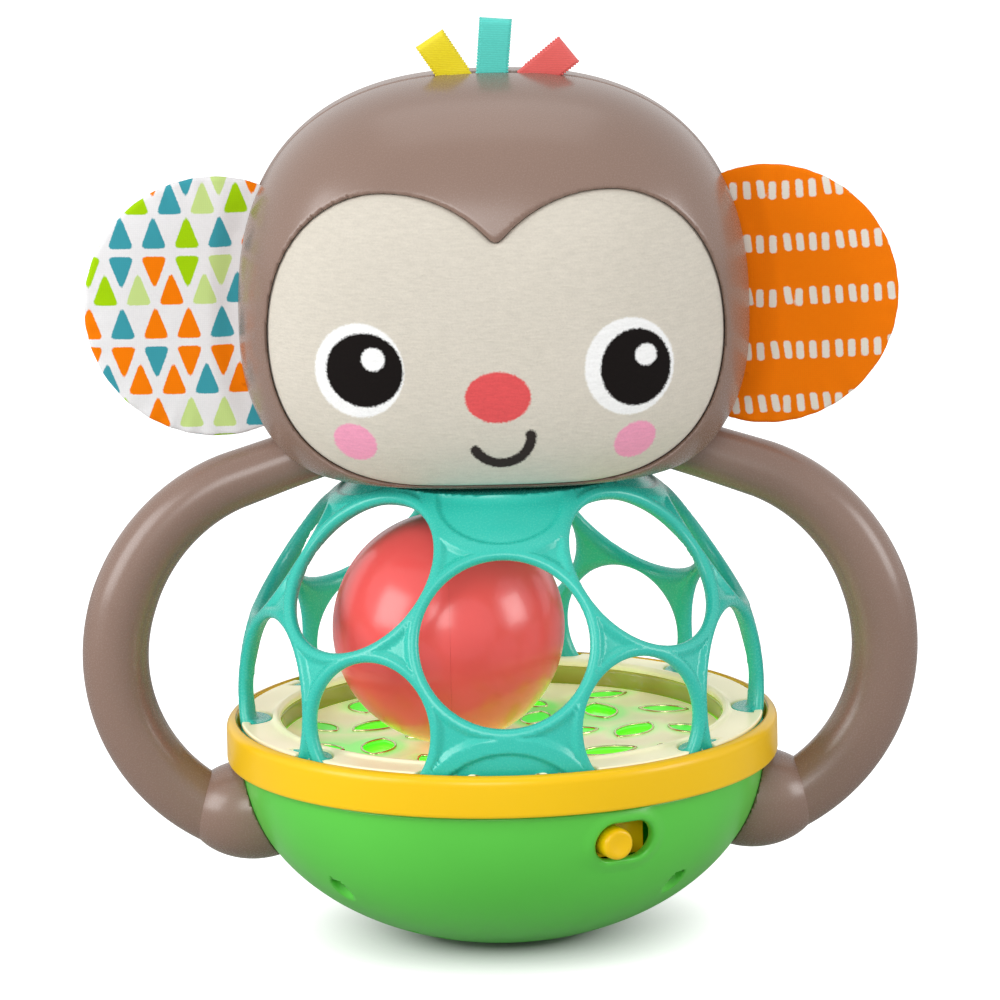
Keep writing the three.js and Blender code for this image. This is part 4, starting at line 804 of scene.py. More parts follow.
# Places where painted pools of green light lie, as if the light from below came through most
PAINTED_LIGHT_POOLS = ((14, 13), (-29, -9))
for thing in (collar, disc):
    spots = points_of(thing)
    pool = np.min([np.hypot(spots[:, 0] - x, spots[:, 1] - y) for x, y in PAINTED_LIGHT_POOLS], axis=0)
    prints_and_painted_light_on(thing, leaf=np.min([leaf_gap(spots, *ring) for ring in LEAVES], axis=0), pool=pool)
# Cream translucent plastic: pale and satin, with a painted warm glow, and painted green light in the leaves and pools
cream, tree, shader, place = finish("cream_translucent_plastic")
settle(shader, Roughness=0.3)
cloud = put(tree, "ShaderNodeTexNoise", ("Vector", place), ("Scale", 70.0), ("Detail", 2.0))
base = put(
    tree, "ShaderNodeMix", (0, cloud.outputs[0]), (6, colour("f0e6c8")), (7, colour("f8f0d8")), data_type="RGBA"
)
near = put(tree, "ShaderNodeAttribute", attribute_name="leaf").outputs["Fac"]
within = put(tree, "ShaderNodeMapRange", (0, near), (1, -0.25), (2, 0.25), (3, 1.0), (4, 0.0))
over = put(tree, "ShaderNodeAttribute", attribute_name="pool").outputs["Fac"]
soft = {"interpolation_type": "SMOOTHSTEP"}
pool = put(tree, "ShaderNodeMapRange", (0, over), (1, 2.0), (2, 20.0), (3, 0.75), (4, 0.0), **soft)
green = put(tree, "ShaderNodeMath", (0, within.outputs[0]), (1, pool.outputs[0]), operation="MAXIMUM")
# Painted light: the leaves and the painted pools are coloured green
green_leaves_and_painted_light = put(
    tree, "ShaderNodeMix", (0, green.outputs[0]), (6, base.outputs[2]), (7, colour("3da52a")), data_type="RGBA"
)
settle(shader, Base_Color=green_leaves_and_painted_light.outputs[2])
# Painted glow: emission all over, stronger in and round the leaves and in the pools, in patches
cover = put(tree, "ShaderNodeMapRange", (0, near), (1, -0.25), (2, 0.25), (3, 0.3), (4, 0.0))
halo = put(tree, "ShaderNodeMapRange", (0, near), (1, 0.0), (2, 4.0), (3, 0.45), (4, 0.26))
both_glow = put(tree, "ShaderNodeMath", (0, cover.outputs[0]), (1, halo.outputs[0]), operation="ADD")
patch = put(tree, "ShaderNodeMapRange", (0, cloud.outputs[0]), (1, 0.3), (2, 0.7), (3, 0.75), (4, 1.25))
painted_glow = put(tree, "ShaderNodeMath", (0, both_glow.outputs[0]), (1, patch.outputs[0]), operation="MULTIPLY")
lit = put(tree, "ShaderNodeMath", (0, pool.outputs[0]), (1, 0.3), (2, painted_glow.outputs[0]), operation="MULTIPLY_ADD")
settle(shader, Emission_Strength=lit.outputs[0])
# Colour of the painted glow: green at the leaves and pools, cream away from them
edge = put(tree, "ShaderNodeMapRange", (0, near), (1, 0.0), (2, 3.0))
hue = put(
    tree, "ShaderNodeMath", (0, edge.outputs[0]), (1, pool.outputs[0]), operation="SUBTRACT", use_clamp=True
)
light = put(
    tree, "ShaderNodeMix", (0, hue.outputs[0]), (6, colour("3cdc22")), (7, colour("e8df98")), data_type="RGBA"
)
settle(shader, Emission_Color=light.outputs[2])
fit(collar, cream, "toy_body", "cream_plastic", "tray_collar")
fit(disc, cream, "toy_body", "cream_plastic", "window_disc")

# Vacuum plating: a thin pale gold metal, mirror bright with a slight haze
gilt, _, shader, _, haze = mottled("vacuum_plated_rim", colour("cfc48f"), colour("e6ddb4"), 800.0)
settle(shader, Metallic=1.0)
roughen(shader, haze, 0.15, 0.3)
RIM_RADIUS = 0.26


def traced(name, *lines, closed=False):
    """Bare lines of edges through points in millimetres, for a tree to follow."""
    thing = show(name, np.concatenate(lines), [])
    ends, start = [], 0
    for line in lines:
        count = len(line)
        ends += [start + v % count for i in range(count if closed else count - 1) for v in (i, i + 1)]
        start += count
    thing.data.edges.add(len(ends) // 2)
    thing.data.edges.foreach_set("vertices", ends)
    return thing


leaf_tree, given, leaf_names = node_tree(
    "rims_round_leaves",
    [("Leaf", "Geometry"), ("Copies", "Int"), ("Rim radius", "Float"), ("Plating", "Material")],
)
line = put(leaf_tree, "GeometryNodeMeshToCurve", ("Mesh", given["Leaf"]))
wire = put(leaf_tree, "GeometryNodeCurvePrimitiveCircle", ("Resolution", 8), ("Radius", given["Rim radius"]))
rim = put(leaf_tree, "GeometryNodeCurveToMesh", ("Curve", line.outputs[0]), ("Profile Curve", wire.outputs[0]))
even = put(leaf_tree, "GeometryNodeSetShadeSmooth", (0, rim.outputs[0]))
spots = put(leaf_tree, "GeometryNodePoints", ("Count", given["Copies"]))
number = put(leaf_tree, "GeometryNodeInputIndex")
share = put(leaf_tree, "ShaderNodeMath", (0, number.outputs[0]), (1, given["Copies"]), operation="DIVIDE")
angle = put(leaf_tree, "ShaderNodeMath", (0, share.outputs[0]), (1, 2 * math.pi), operation="MULTIPLY")
spin = put(leaf_tree, "ShaderNodeCombineXYZ", ("Z", angle.outputs[0]))
copies = put(
    leaf_tree,
    "GeometryNodeInstanceOnPoints",
    ("Points", spots.outputs[0]),
    ("Instance", even.outputs[0]),
    ("Rotation", spin.outputs[0]),
)
tree_end(leaf_tree, copies.outputs[0], given["Plating"])
for number, (count, circle, lean, length, half) in enumerate(LEAVES):
    (s, c), bow = leaning(lean), leaf_bow(length, half)
    open_to = math.asin(length / 2 / bow)
    leaf = [(bow * math.sin(t), bow * math.cos(t) - bow + half) for t in np.linspace(-open_to, open_to, 16)]
    leaf += [(a, -b) for a, b in leaf[-2:0:-1]]
    outline = [(circle + a * c - b * s, a * s + b * c, DISC_Z + 0.35) for a, b in leaf]
    base = traced("leaf_line", outline, closed=True)
    sizes = {"Copies": count, "Rim_radius": RIM_RADIUS / 1000}
    rims = grown(f"leaf_rims_{number}", base, leaf_tree, leaf_names, Plating=gilt, **sizes)
    fit(rims, gilt, "toy_body", "cream_plastic")


# Board and lamps: a glass-epoxy board screwed up under the tray, with three green lamps. They are out of
# sight below the tray, and what comes up through it is one wide soft light.
# Epoxy board: a green solder mask with a dull gloss
mask = moulded("epoxy_board_green", "2f7d4f", 0.4)
dress(mask, "circuit_board")
# Clear epoxy: a glassy tinted lens that glows all through
lamp_lens, _, shader, _, _ = mottled("clear_green_epoxy", colour("6fd850"), colour("88e868"), 400.0)
settle(shader, Roughness=0.1, Transmission_Weight=0.6, Emission_Color=colour("5fe02a"), Emission_Strength=0.6)
dress(lamp_lens, "led_1", "led_2", "led_3")
lamp = bpy.data.lights.new("lamp_glow", "AREA")
lamp.shape = "DISK"
lamp.size = 0.05
lamp.energy = 0.0045
lamp.color = (0.1, 1.0, 0.05)
lit = bpy.data.objects.new("lamp_glow", lamp)
lit.matrix_world = Matrix.Translation((0, 0, 0.0392)) @ Matrix.Rotation(math.pi, 4, "X")
lit.visible_camera = False
scene.collection.objects.link(lit)


# Loose ball: two half shells of polished red plastic, welded at a fine seam that runs round it upright.
# It rolls free on the disc inside the cage.
BALL_RADIUS = 22.3
BALL_WALL = 1.8
ball_low, ball_high = (np.array(c) * 1000 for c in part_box("ball_left_half"))
ball_place = (ball_high[0] + 0.15, (ball_low[1] + ball_high[1]) / 2, (ball_low[2] + ball_high[2]) / 2)
# Polished plastic: a smooth, glassy gloss with clear highlights of the soft boxes
red = moulded("polished_red_plastic", "fe5d5b", 0.22, grain=1.2)
for word, side in (("left", -1), ("right", 1)):
    arc = np.linspace(0.001, math.pi / 2, 48)
    shell = [(BALL_RADIUS * math.cos(a), side * BALL_RADIUS * math.sin(a)) for a in arc]
    shell[-1] = (0, side * BALL_RADIUS)
    core = BALL_RADIUS - BALL_WALL
    inner = [(core * math.cos(a), side * core * math.sin(a)) for a in arc[::-4]]
    inner[0] = (0, side * core)
    lip = [(core + 0.2, side * 0.01), (BALL_RADIUS - 0.03, side * 0.01)]
    outline = shell + inner + lip
    half = spun(f"ball_{word}_shell", outline[::side], 128, ball_place, "X")
    out = points_of(half) - np.array(ball_place)
    far = np.linalg.norm(out, axis=1)
    out *= (np.where(far > BALL_RADIUS - 1, 1, -1) / far)[:, None]
    half.data.normals_split_custom_set_from_vertices(out.tolist())
    fit(half, red, "loose_ball", "red_ball", f"ball_{word}_half")


# Arms and hands: bent brown ABS tubes that run out of the jaw and round into a bulb on each side of the
# bowl. The hand is screwed on from within, and the tube is plugged into it.
ARM_RADIUS = 6.4
HAND_DROP = 10.2
HAND_Z = RIM - HAND_DROP
HAND_X = BOWL_RADIUS * math.sqrt(1 - (HAND_DROP / BOWL_DEEP) ** 2) - 0.9
HAND_HALF = (13, 10, 9.7)
ARM_TOP = HEAD_FLOOR - 1.9
ARM_BEND = (ARM_TOP - HAND_Z + 3.7) / 2
ARM_BEND_X = HAND_X - 7.6
ARM_BEND_Z = ARM_TOP - ARM_BEND
ARM_RISE = math.radians(19)
BEND_FROM, BEND_TO = math.pi / 2 - ARM_RISE, math.radians(-70)
ARM_LIFT = 2.2
ARM_ROOT_X = 30
ARM_ROOT_RADIUS = 5.3


def bend(angle):
    """Point of the arm's bow, which is a little taller above its middle than below."""
    rise = ARM_BEND + ARM_LIFT * max(math.sin(angle), 0)
    return ARM_BEND_X + ARM_BEND * math.cos(angle), ARM_BEND_Z + rise * math.sin(angle)


tangent = bend(BEND_FROM)
root = (ARM_ROOT_X, tangent[1] + (tangent[0] - ARM_ROOT_X) * math.tan(ARM_RISE))


def hand_field(p):
    """Hand: a bulb cut to the bowl's side, and just under the rim ring."""
    q = np.column_stack([np.abs(p[:, 0]) - HAND_X - 1, p[:, 1], p[:, 2] - HAND_Z - 0.4]) / HAND_HALF
    bulb = (np.linalg.norm(q, axis=1) + 1e-6 - 1) * 10
    return meet(meet(bulb, 0.05 - bowl_gap(p, 0), 0.2), p[:, 2] - RIM + 0.1, 0.5)


# Brown ABS: a little smoother than the green, with longer and brighter highlights along its curves
brown_abs = moulded("abs_brown", "8d7366", 0.27)
ARM_SOCKETS = [
    ("Line", "Geometry"),
    ("Tube radius", "Float"),
    ("Root share", "Float"),
    ("Sides", "Int"),
    ("Plastic", "Material"),
]
arm_tree, given, arm_names = node_tree("tube_along_arm", ARM_SOCKETS)
line = put(arm_tree, "GeometryNodeMeshToCurve", ("Mesh", given["Line"]))
along = put(arm_tree, "GeometryNodeSplineParameter")
taper = put(
    arm_tree,
    "ShaderNodeMapRange",
    (0, along.outputs["Factor"]),
    (1, 0.1),
    (2, 0.5),
    (3, given["Root share"]),
    (4, 1.0),
)
section = put(
    arm_tree, "GeometryNodeCurvePrimitiveCircle", ("Resolution", given["Sides"]), ("Radius", given["Tube radius"])
)
tube = put(
    arm_tree,
    "GeometryNodeCurveToMesh",
    ("Curve", line.outputs[0]),
    ("Profile Curve", section.outputs[0]),
    ("Scale", taper.outputs[0]),
    ("Fill Caps", True),
)
even = put(arm_tree, "GeometryNodeSetShadeSmooth", (0, tube.outputs[0]))
tree_end(arm_tree, even.outputs[0], given["Plastic"])
arm_sizes = {"Tube_radius": ARM_RADIUS / 1000, "Root_share": ARM_ROOT_RADIUS / ARM_RADIUS, "Sides": 48}
arm_line = np.linspace(root, tangent, 16).tolist()
arm_line += [bend(a) for a in np.linspace(BEND_FROM, BEND_TO, 90)[1:]]
for word, side in (("left", -1), ("right", 1)):
    base = traced(f"{word}_arm_line", [(side * x, 0, z) for x, z in arm_line])
    arm = grown(f"{word}_arm_tube", base, arm_tree, arm_names, Plastic=brown_abs, **arm_sizes)
    fit(arm, brown_abs, "toy_body", "brown_abs", f"{word}_arm")
    reach = sorted((side * 35, side * 63))
    hand = mould(f"{word}_hand_bulb", hand_field, (reach[0], -11, 13.5), (reach[1], 11, 36), 0.5)
    fit(hand, brown_abs, "toy_body", "brown_abs", f"{word}_hand")


# Head: front and rear shells of brown ABS that meet at a seam over the top, closed from behind by four
# screws in deep wells. The front has the heart-topped opening for the face, with a rounded lip.
HEAD_WIDE, HEAD_DEEP, HEAD_TALL, HEAD_LOW = 48.8, 36.5, 46.5, 38.0
HEAD_ROUND = 2.5
HEAD_WALL = 2.2
HEAD_POST_RADIUS, HEAD_WELL_RADIUS = 4.2, 2.7
SEAM_GAP = 0.03
FACE_STEP = 0.25
FACE_START = (-1, -36)
EAR_Z = HEAD_Z + 2
EAR_MID = EAR_Z + 0.4
EAR_REACH = (53.1, 52.4)
EAR_RADIUS = 25.2
# Each ribbon's place along the seam, its lean and its height
RIBBONS = (("yellow", -6.8, 33, 8.0), ("teal", 0.6, -5, 10.2), ("coral", 9.7, -52, 7.0))


def head_gap(p, grow):
    """Rough distance outside the head's rounded box, grown or pulled in all round."""
    q = p - [0, 0, HEAD_Z]
    flat = np.full((len(q), 2), (HEAD_WIDE, HEAD_DEEP))
    reach = np.column_stack([flat, np.where(q[:, 2] > 0, HEAD_TALL, HEAD_LOW)]) + grow
    size = ((np.abs(q) / reach) ** HEAD_ROUND).sum(1) ** (1 / HEAD_ROUND)
    return np.maximum(np.linalg.norm(q, axis=1), 1) * (1 - 1 / np.maximum(size, 1e-3))


def bezier(*corners):
    """Points of a curve drawn by four corners, without its last."""
    a, b, c, d = (np.array(v, float) for v in corners)
    t = np.linspace(0, 1, 25)[:-1, None]
    return (1 - t) ** 3 * a + 3 * t * (1 - t) ** 2 * b + 3 * t * t * (1 - t) * c + t**3 * d


def face_table():
    """Distances outside the right half of the face opening, on a grid of quarter millimetres."""
    wide, lobe, notch, chin = 43.3, 28.5, 17.6, 1.8 - 30
    line = np.concatenate([
        bezier((0, notch), (3.075, notch + 0.55 * (lobe - notch)), (11.07, lobe), (20.5, lobe)),
        bezier((20.5, lobe), (32.8, lobe), (wide, 17.76), (wide, 0)),
        bezier((wide, 0), (wide, -12.9), (0.86 * wide, chin), (14.35, chin)),
        [(14.35, chin), (0, chin)],
    ])
    rows, columns = np.arange(FACE_START[0], 56, FACE_STEP), np.arange(FACE_START[1], 52, FACE_STEP)
    x, z = np.meshgrid(rows, columns, indexing="ij")
    least = np.full(x.shape, 1e9)
    inside = np.zeros(x.shape, bool)
    for (ax, az), (bx, bz) in zip(line, np.roll(line, -1, 0)):
        run, rise = bx - ax, bz - az
        if ax > 0 or bx > 0:
            t = np.clip(((x - ax) * run + (z - az) * rise) / (run**2 + rise**2 + 1e-12), 0, 1)
            least = np.minimum(least, np.hypot(x - ax - t * run, z - az - t * rise))
        if rise:
            over = (az > z) != (bz > z)
            inside ^= over & (x < ax + (z - az) / rise * run)
    return np.where(inside, -least, least)


FACE = face_table()


def face_gap(p):
    """Distance outside the face opening, seen from the front."""
    u = np.clip((np.hypot(p[:, 0], 1.2) - FACE_START[0]) / FACE_STEP, 0, FACE.shape[0] - 1.001)
    v = np.clip((p[:, 2] - HEAD_Z - FACE_START[1]) / FACE_STEP, 0, FACE.shape[1] - 1.001)
    i, j = u.astype(int), v.astype(int)
    u, v = u - i, v - j
    low = FACE[i, j] * (1 - u) + FACE[i + 1, j] * u
    high = FACE[i, j + 1] * (1 - u) + FACE[i + 1, j + 1] * u
    return low * (1 - v) + high * v


def seam_height(at):
    """Height of the head's seam at a place to one side of its middle."""
    return HEAD_Z + HEAD_TALL * (1 - (abs(at) / HEAD_WIDE) ** HEAD_ROUND) ** (1 / HEAD_ROUND)


def ribbon_frame(x, z, at, lean):
    """Sideways and upward distances along a ribbon that leans from the seam."""
    (s, c), foot = leaning(lean), seam_height(at)
    return (x - at) * c + (z - foot) * s, (z - foot) * c - (x - at) * s


def shell_field(p, side):
    """Front (-1) or rear (1) shell of the head, with room in the seam for arms, ears and ribbons."""
    x, y, z = np.abs(p[:, 0]), p[:, 1], p[:, 2]
    hollow = meet(head_gap(p, -HEAD_WALL), HEAD_FLOOR + HEAD_WALL - z, 3)
    if side > 0:
        wells = [np.hypot(x - bx, z - bz) for bx, bz in HEAD_BOSSES]
        for well in wells:
            hollow = meet(hollow, HEAD_POST_RADIUS - well, 1)
    shell = meet(meet(head_gap(p, 0), HEAD_FLOOR - z, 5), -hollow, 0.5)
    if side > 0:
        for well in wells:
            shell = meet(shell, -np.maximum(well - HEAD_WELL_RADIUS, HEAD_SEAT - y), 0.8)
            shell = np.maximum(shell, SCREW_HOLE_RADIUS - well)
    else:
        shell = meet(shell, -np.maximum(face_gap(p), y + 12.2), 1.1)
    drop = (z - root[1]) * math.cos(ARM_RISE) + (x - root[0]) * math.sin(ARM_RISE)
    shell = meet(shell, ARM_ROOT_RADIUS + 0.4 - np.hypot(y, drop), 0.8)
    clear = head_gap(np.column_stack([x, 0 * y, z]), 0)
    ear = np.hypot(x - np.where(p[:, 0] < 0, *EAR_REACH), z - EAR_MID) - EAR_RADIUS - 0.4
    slot = np.minimum(np.maximum(ear, -2.8 - clear), np.maximum(39.5 - x, np.abs(z - EAR_Z) - 15.3))
    shell = meet(shell, -np.maximum(slot, np.abs(y) - 0.75), 0.3)
    for _, at, lean, length in RIBBONS:
        aside, along = ribbon_frame(p[:, 0], z, at, lean)
        gap = np.maximum(np.maximum(np.abs(aside) - 3.2, np.abs(y) - 0.8), -3.8 - along)
        shell = np.maximum(shell, -gap)
    return meet(shell, SEAM_GAP - side * y, 1.0)


front = mould("head_front", lambda p: shell_field(p, -1), (-50, -38, 90.5), (50, 0.6, 169), 0.68)
fit(front, brown_abs, "toy_body", "brown_abs", "head_front_shell")
rear = mould("head_rear", lambda p: shell_field(p, 1), (-50, -0.6, 90.5), (50, 38, 169), 0.72)
fit(rear, brown_abs, "toy_body", "brown_abs", "head_rear_shell")


# Face: a short-pile printed plush stretched over a foam-backed stiff sheet and tucked behind the lip.
# Eyes, nose, cheeks and mouth are printed on it, so their edges run a little in the pile.
PAD_SINK, PAD_SWELL = 0.7, 0.35


def pad_field(p):
    """Plush: 0.05 mm clear of the opening, sunk a little at its rim and swelling inwards from it."""
    swell = PAD_SWELL * ramp(-face_gap(p), 0, 9)
    pile = meet(head_gap(p, -PAD_SINK) - swell, face_gap(p) + 0.05, 1.0)
    return meet(pile, -head_gap(p, -HEAD_WALL), 0.9)


def backing_field(p):
    """Stiff sheet behind the plush, a little larger than the opening."""
    sheet = meet(head_gap(p, -2.3), -head_gap(p, -4.2), 0.4)
    return meet(meet(sheet, face_gap(p) - 0.6, 0.4), HEAD_FLOOR + 2.3 - p[:, 2], 0.4)


def oval(x, z, cx, cz, rx, rz, tilt=0):
    """Distance outside an oval."""
    s, c = leaning(tilt)
    u, v = (x - cx) * c + (z - cz) * s, (z - cz) * c - (x - cx) * s
    size = np.hypot(u / rx, v / rz)
    return (size - 1) * size / (np.hypot(u / rx**2, v / rz**2) + 1e-6)


def inked(tree, ground, prints, run, soft):
    """Lays prints of one colour each over a ground colour; run is a socket that frays their edges."""
    for title, code in prints:
        gap = put(tree, "ShaderNodeAttribute", attribute_name=title)
        frayed = put(tree, "ShaderNodeMath", (0, gap.outputs["Fac"]), (1, run), operation="ADD")
        cover = put(tree, "ShaderNodeMapRange", (0, frayed.outputs[0]), (1, -soft), (2, soft), (3, 1.0), (4, 0.0))
        mixed = put(tree, "ShaderNodeMix", (0, cover.outputs[0]), (6, ground), (7, colour(code)), data_type="RGBA")
        ground = mixed.outputs[2]
    return ground


# Stiff foam sheet: pale and dull, with fine cells
foam = moulded("stiff_foam_sheet", "d8d2c4", 0.7, grain=0.8)
backing = mould("backing_sheet", backing_field, (-44.8, -36, 91.5), (44.8, -11, 153), (0.9, 0.7, 0.9))
fit(backing, foam, "toy_body", "white_backing", "face_backing")
pad = mould("face_plush", pad_field, (-44.5, -37.5, 91.5), (44.5, -10, 152.5), (0.5, 0.45, 0.5))
px, _, pz = (points_of(pad) - [0, 0, HEAD_Z]).T
# Mouth: an arc with round ends, 2 mm wide
SMILE_X, SMILE_Z, SMILE_RADIUS = 0.4, -17.3, 5.6
mouth = np.abs(np.hypot(px - SMILE_X, pz - SMILE_Z) - SMILE_RADIUS)
turn = np.arctan2(pz - SMILE_Z, px - SMILE_X)
ends = np.minimum(np.hypot(px + 4.5, pz + 20.1), np.hypot(px - 5.95, pz + 17.1))
mouth = np.where((turn > math.radians(-151)) & (turn < math.radians(2)), mouth, ends) - 1.0
prints_and_painted_light_on(
    pad,
    white=np.minimum(oval(px, pz, -25.95, -4.4, 8.35, 9.1), oval(px, pz, 24.7, -4.65, 8.45, 9.4)),
    pupil=np.minimum(oval(px, pz, -25.0, -4.3, 7.2, 7.15), oval(px, pz, 25.9, -4.9, 6.65, 7.45)),
    glint=np.minimum(oval(px, pz, -23.4, -2.1, 2.2, 2.25), oval(px, pz, 27.85, -2.57, 2.05, 2.1)),
    nose=oval(px, pz, -0.15, -9.55, 6.2, 5.0),
    cheek=np.minimum(oval(px, pz, -27.0, -18.7, 4.3, 3.5, -38), oval(px, pz, 25.6, -19.35, 4.3, 3.4, 38)),
    mouth=mouth,
)
# Short-pile plush: matt and soft, with a fine nap over a knit that shows as faint level lines
plush, tree, shader, place = finish("printed_short_pile_plush")
pile = put(tree, "ShaderNodeTexNoise", ("Vector", place), ("Scale", 2600.0), ("Detail", 3.0), ("Roughness", 0.6))
stretch = put(tree, "ShaderNodeMapping", ("Vector", place), ("Scale", (450.0, 450.0, 2200.0)))
knit = put(tree, "ShaderNodeTexNoise", ("Vector", stretch.outputs[0]), ("Scale", 1.0), ("Detail", 2.0))
cloud = put(tree, "ShaderNodeTexNoise", ("Vector", place), ("Scale", 45.0), ("Detail", 2.0))
ground = put(
    tree, "ShaderNodeMix", (0, cloud.outputs[0]), (6, colour("d6cfc1")), (7, colour("ddd6c9")), data_type="RGBA"
)
run = put(tree, "ShaderNodeMapRange", (0, pile.outputs[0]), (1, 0.25), (2, 0.75), (3, -0.22), (4, 0.22))
prints = (
    ("white", "fbfbfa"),
    ("pupil", "15100f"),
    ("glint", "fbfbfa"),
    ("nose", "e6595b"),
    ("cheek", "f7a4c2"),
    ("mouth", "332c2a"),
)
face = inked(tree, ground.outputs[2], prints, run.outputs[0], 0.2)
mixed = put(tree, "ShaderNodeMath", (0, pile.outputs[0]), (1, knit.outputs[0]), operation="ADD")
nap = put(tree, "ShaderNodeMapRange", (0, mixed.outputs[0]), (1, 0.6), (2, 1.4), (3, 0.91), (4, 1.08))
worn = put(tree, "ShaderNodeVectorMath", (0, face), (1, nap.outputs[0]), operation="MULTIPLY")
settle(shader, Base_Color=worn.outputs[0])
settle(shader, Roughness=0.95, Sheen_Weight=0.12, Sheen_Roughness=0.4, Specular_IOR_Level=0.15)
relief = put(tree, "ShaderNodeBump", ("Strength", 0.5), ("Distance", 0.00012), ("Height", mixed.outputs[0]))
settle(shader, Normal=relief.outputs[0])
fit(pad, plush, "toy_body", "face_plush", "face_pad")


# Ears: two discs of printed cloth sewn face to face, turned and thinly stuffed, with a flat root that the
# seam of the head clamps.
EAR_BEND = (49.5, 54.5)
EAR_ROOT_X, EAR_ROOT_HALF = 40.2, 14.7
EAR_EDGE = 0.45


def ear_field(p, reach):
    """Ear with its middle at a reach to the side; its root and rim slip into the seam of the head."""
    x, y, z = np.abs(p[:, 0]), p[:, 1], p[:, 2] - EAR_MID
    clear = head_gap(np.column_stack([x, 0 * y, p[:, 2]]), 0)
    r, turn = np.hypot(x - reach, z), np.arctan2(z, x - reach)
    depth = EAR_RADIUS - r
    pucker = 0.13 * np.sin(31 * turn + 2 * np.sin(5 * turn)) * np.exp(-np.maximum(depth, 0) / 2.5)
    half = EAR_EDGE + (np.sqrt(ramp(depth, -1, 9)) + pucker) * ramp(clear, 0.3, 6)
    cloth = meet(np.maximum(r - EAR_RADIUS, -2.2 - clear), np.abs(y) - half, 0.9)
    tab = np.maximum(np.abs(p[:, 2] - EAR_Z) - EAR_ROOT_HALF, EAR_ROOT_X - x)
    tab = np.maximum(tab, np.maximum(np.abs(y) - EAR_EDGE, clear - 2.5))
    return join(cloth, tab, 0.4)


def triangle_gap(x, z, wide, tall):
    """Distance outside an upright triangle with eased corners, its base on z = 0."""
    left, right = (((way * x) * tall + (z - tall) * wide / 2) / np.hypot(tall, wide / 2) for way in (-1, 1))
    return meet(meet(left, right, 1.1), -z, 1.1)


def triangles(x, z):
    """Distances outside the printed triangles of each of four colours: upright rows, and inverted rows
    that stand base to base with every other one of them."""
    pitch, period, wide, tall = 6.33, 17.45, 5.1, 6.7
    gaps = [np.full(len(x), 99.0) for _ in range(4)]
    for row in range(-3, 4):
        for kind, (lift, shift, way) in enumerate(((12.1, 0, 1), (10.6, 0, -1), (1.2, 0.5, 1))):
            for column in range(-6, 7):
                u = x - (column + shift) * pitch - 1.67
                v = way * (z - row * period - lift)
                shade = (7 * column + 5 * row + 3 * kind + column * row) % 9
                dye = (0, 1, 2, 3, 0, 2, 0, 1, 3)[shade]
                gaps[dye] = np.minimum(gaps[dye], triangle_gap(u, v, wide, tall))
    return gaps


def dashes(x, z):
    """Distance outside upright dashes in rows, each a little tilted and out of line."""
    least = np.full(len(x), 99.0)
    for row in range(-3, 4):
        for place in range(-12, 13):
            hash_ = math.sin(12.9898 * place + 78.233 * row) * 43758.5453
            stray = hash_ - math.floor(hash_)
            u = x - place * 2.5 - 0.45 * (stray - 0.5) - 0.08 * row
            v = z - row * 10.45 - 0.03 * x - 0.5 * (stray - 0.5) + 0.1
            u = u + (0.2 * stray - 0.02) * v
            dash = np.hypot(np.maximum(np.abs(u) - 0.25, 0), np.maximum(np.abs(v) - 1.3, 0)) - 0.45
            least = np.minimum(least, dash)
    return least


# Printed cotton: a plain weave of 0.4 mm threads, drawn a little coarse so that it shows. It is matt, with a
# dry bloom, and the inks' edges run along the threads.
def printed_cotton(name, dark, light, prints, fray, soft):
    """Cotton between two shades with prints whose edges stray by fray and blur by soft millimetres."""
    made, tree, shader, place = finish(name)
    noise = put(tree, "ShaderNodeTexNoise", ("Vector", place), ("Scale", 2500.0)).outputs[0]
    run = put(tree, "ShaderNodeMapRange", (0, noise), (3, -fray), (4, fray)).outputs[0]
    ground = put(tree, "ShaderNodeMix", (0, noise), (6, colour(dark)), (7, colour(light)), data_type="RGBA")
    inks = inked(tree, ground.outputs[2], prints, run, soft)
    wave = ("ShaderNodeTexWave", ("Vector", place), ("Scale", 790.0), ("Distortion", 0.6))
    warp, weft = (put(tree, *wave, bands_direction=way).outputs["Fac"] for way in "XZ")
    weave = put(tree, "ShaderNodeMath", (0, warp), (1, weft), operation="MULTIPLY").outputs[0]
    shade = put(tree, "ShaderNodeMapRange", (0, weave), (3, 0.97), (4, 1.02))
    tone = put(tree, "ShaderNodeVectorMath", (0, inks), (1, shade.outputs[0]), operation="MULTIPLY")
    settle(shader, Base_Color=tone.outputs[0])
    relief = put(tree, "ShaderNodeBump", ("Strength", 0.2), ("Distance", 0.00006), ("Height", weave))
    settle(shader, Normal=relief.outputs[0])
    settle(shader, Roughness=0.9, Sheen_Weight=0.05, Specular_IOR_Level=0.1)
    return made


DYES = (("teal_ink", "3fa0ae"), ("orange_ink", "ff8200"), ("lime_ink", "a8d808"), ("pale_ink", "cde58f"))
CREAM_DYE = [("cream_ink", "efe7da")]
white_cloth = printed_cotton("white_cotton_printed_triangles", "ecebec", "f6f5f6", DYES, 0.1, 0.08)
orange_cloth = printed_cotton("orange_cotton_printed_dashes", "fb7a00", "ff8404", CREAM_DYE, 0.12, 0.1)
EARS = (("left", -1, white_cloth, "white_cloth"), ("right", 1, orange_cloth, "orange_cloth"))
for (word, side, made, slot), reach in zip(EARS, EAR_REACH):
    near, far = sorted((side * 39, side * 79.5))
    low, high = (near, -3, EAR_MID - 26), (far, 3, EAR_MID + 26)
    ear = mould(f"{word}_ear_cloth", lambda p: ear_field(p, reach), low, high, (0.5, 0.3, 0.5))
    ex, _, ez = points_of(ear).T
    if side < 0:
        prints_and_painted_light_on(ear, **dict(zip([dye for dye, _ in DYES], triangles(ex + 53.6, ez - EAR_Z))))
    else:
        prints_and_painted_light_on(ear, cream_ink=dashes(ex - 53.6, ez - EAR_Z))
    ear.data.materials.append(made)
    start, end = ((side * x / 1000, 0, EAR_Z / 1000) for x in EAR_BEND)
    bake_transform(ear)
    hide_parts(f"{word}_ear", f"{word}_ear_tab")


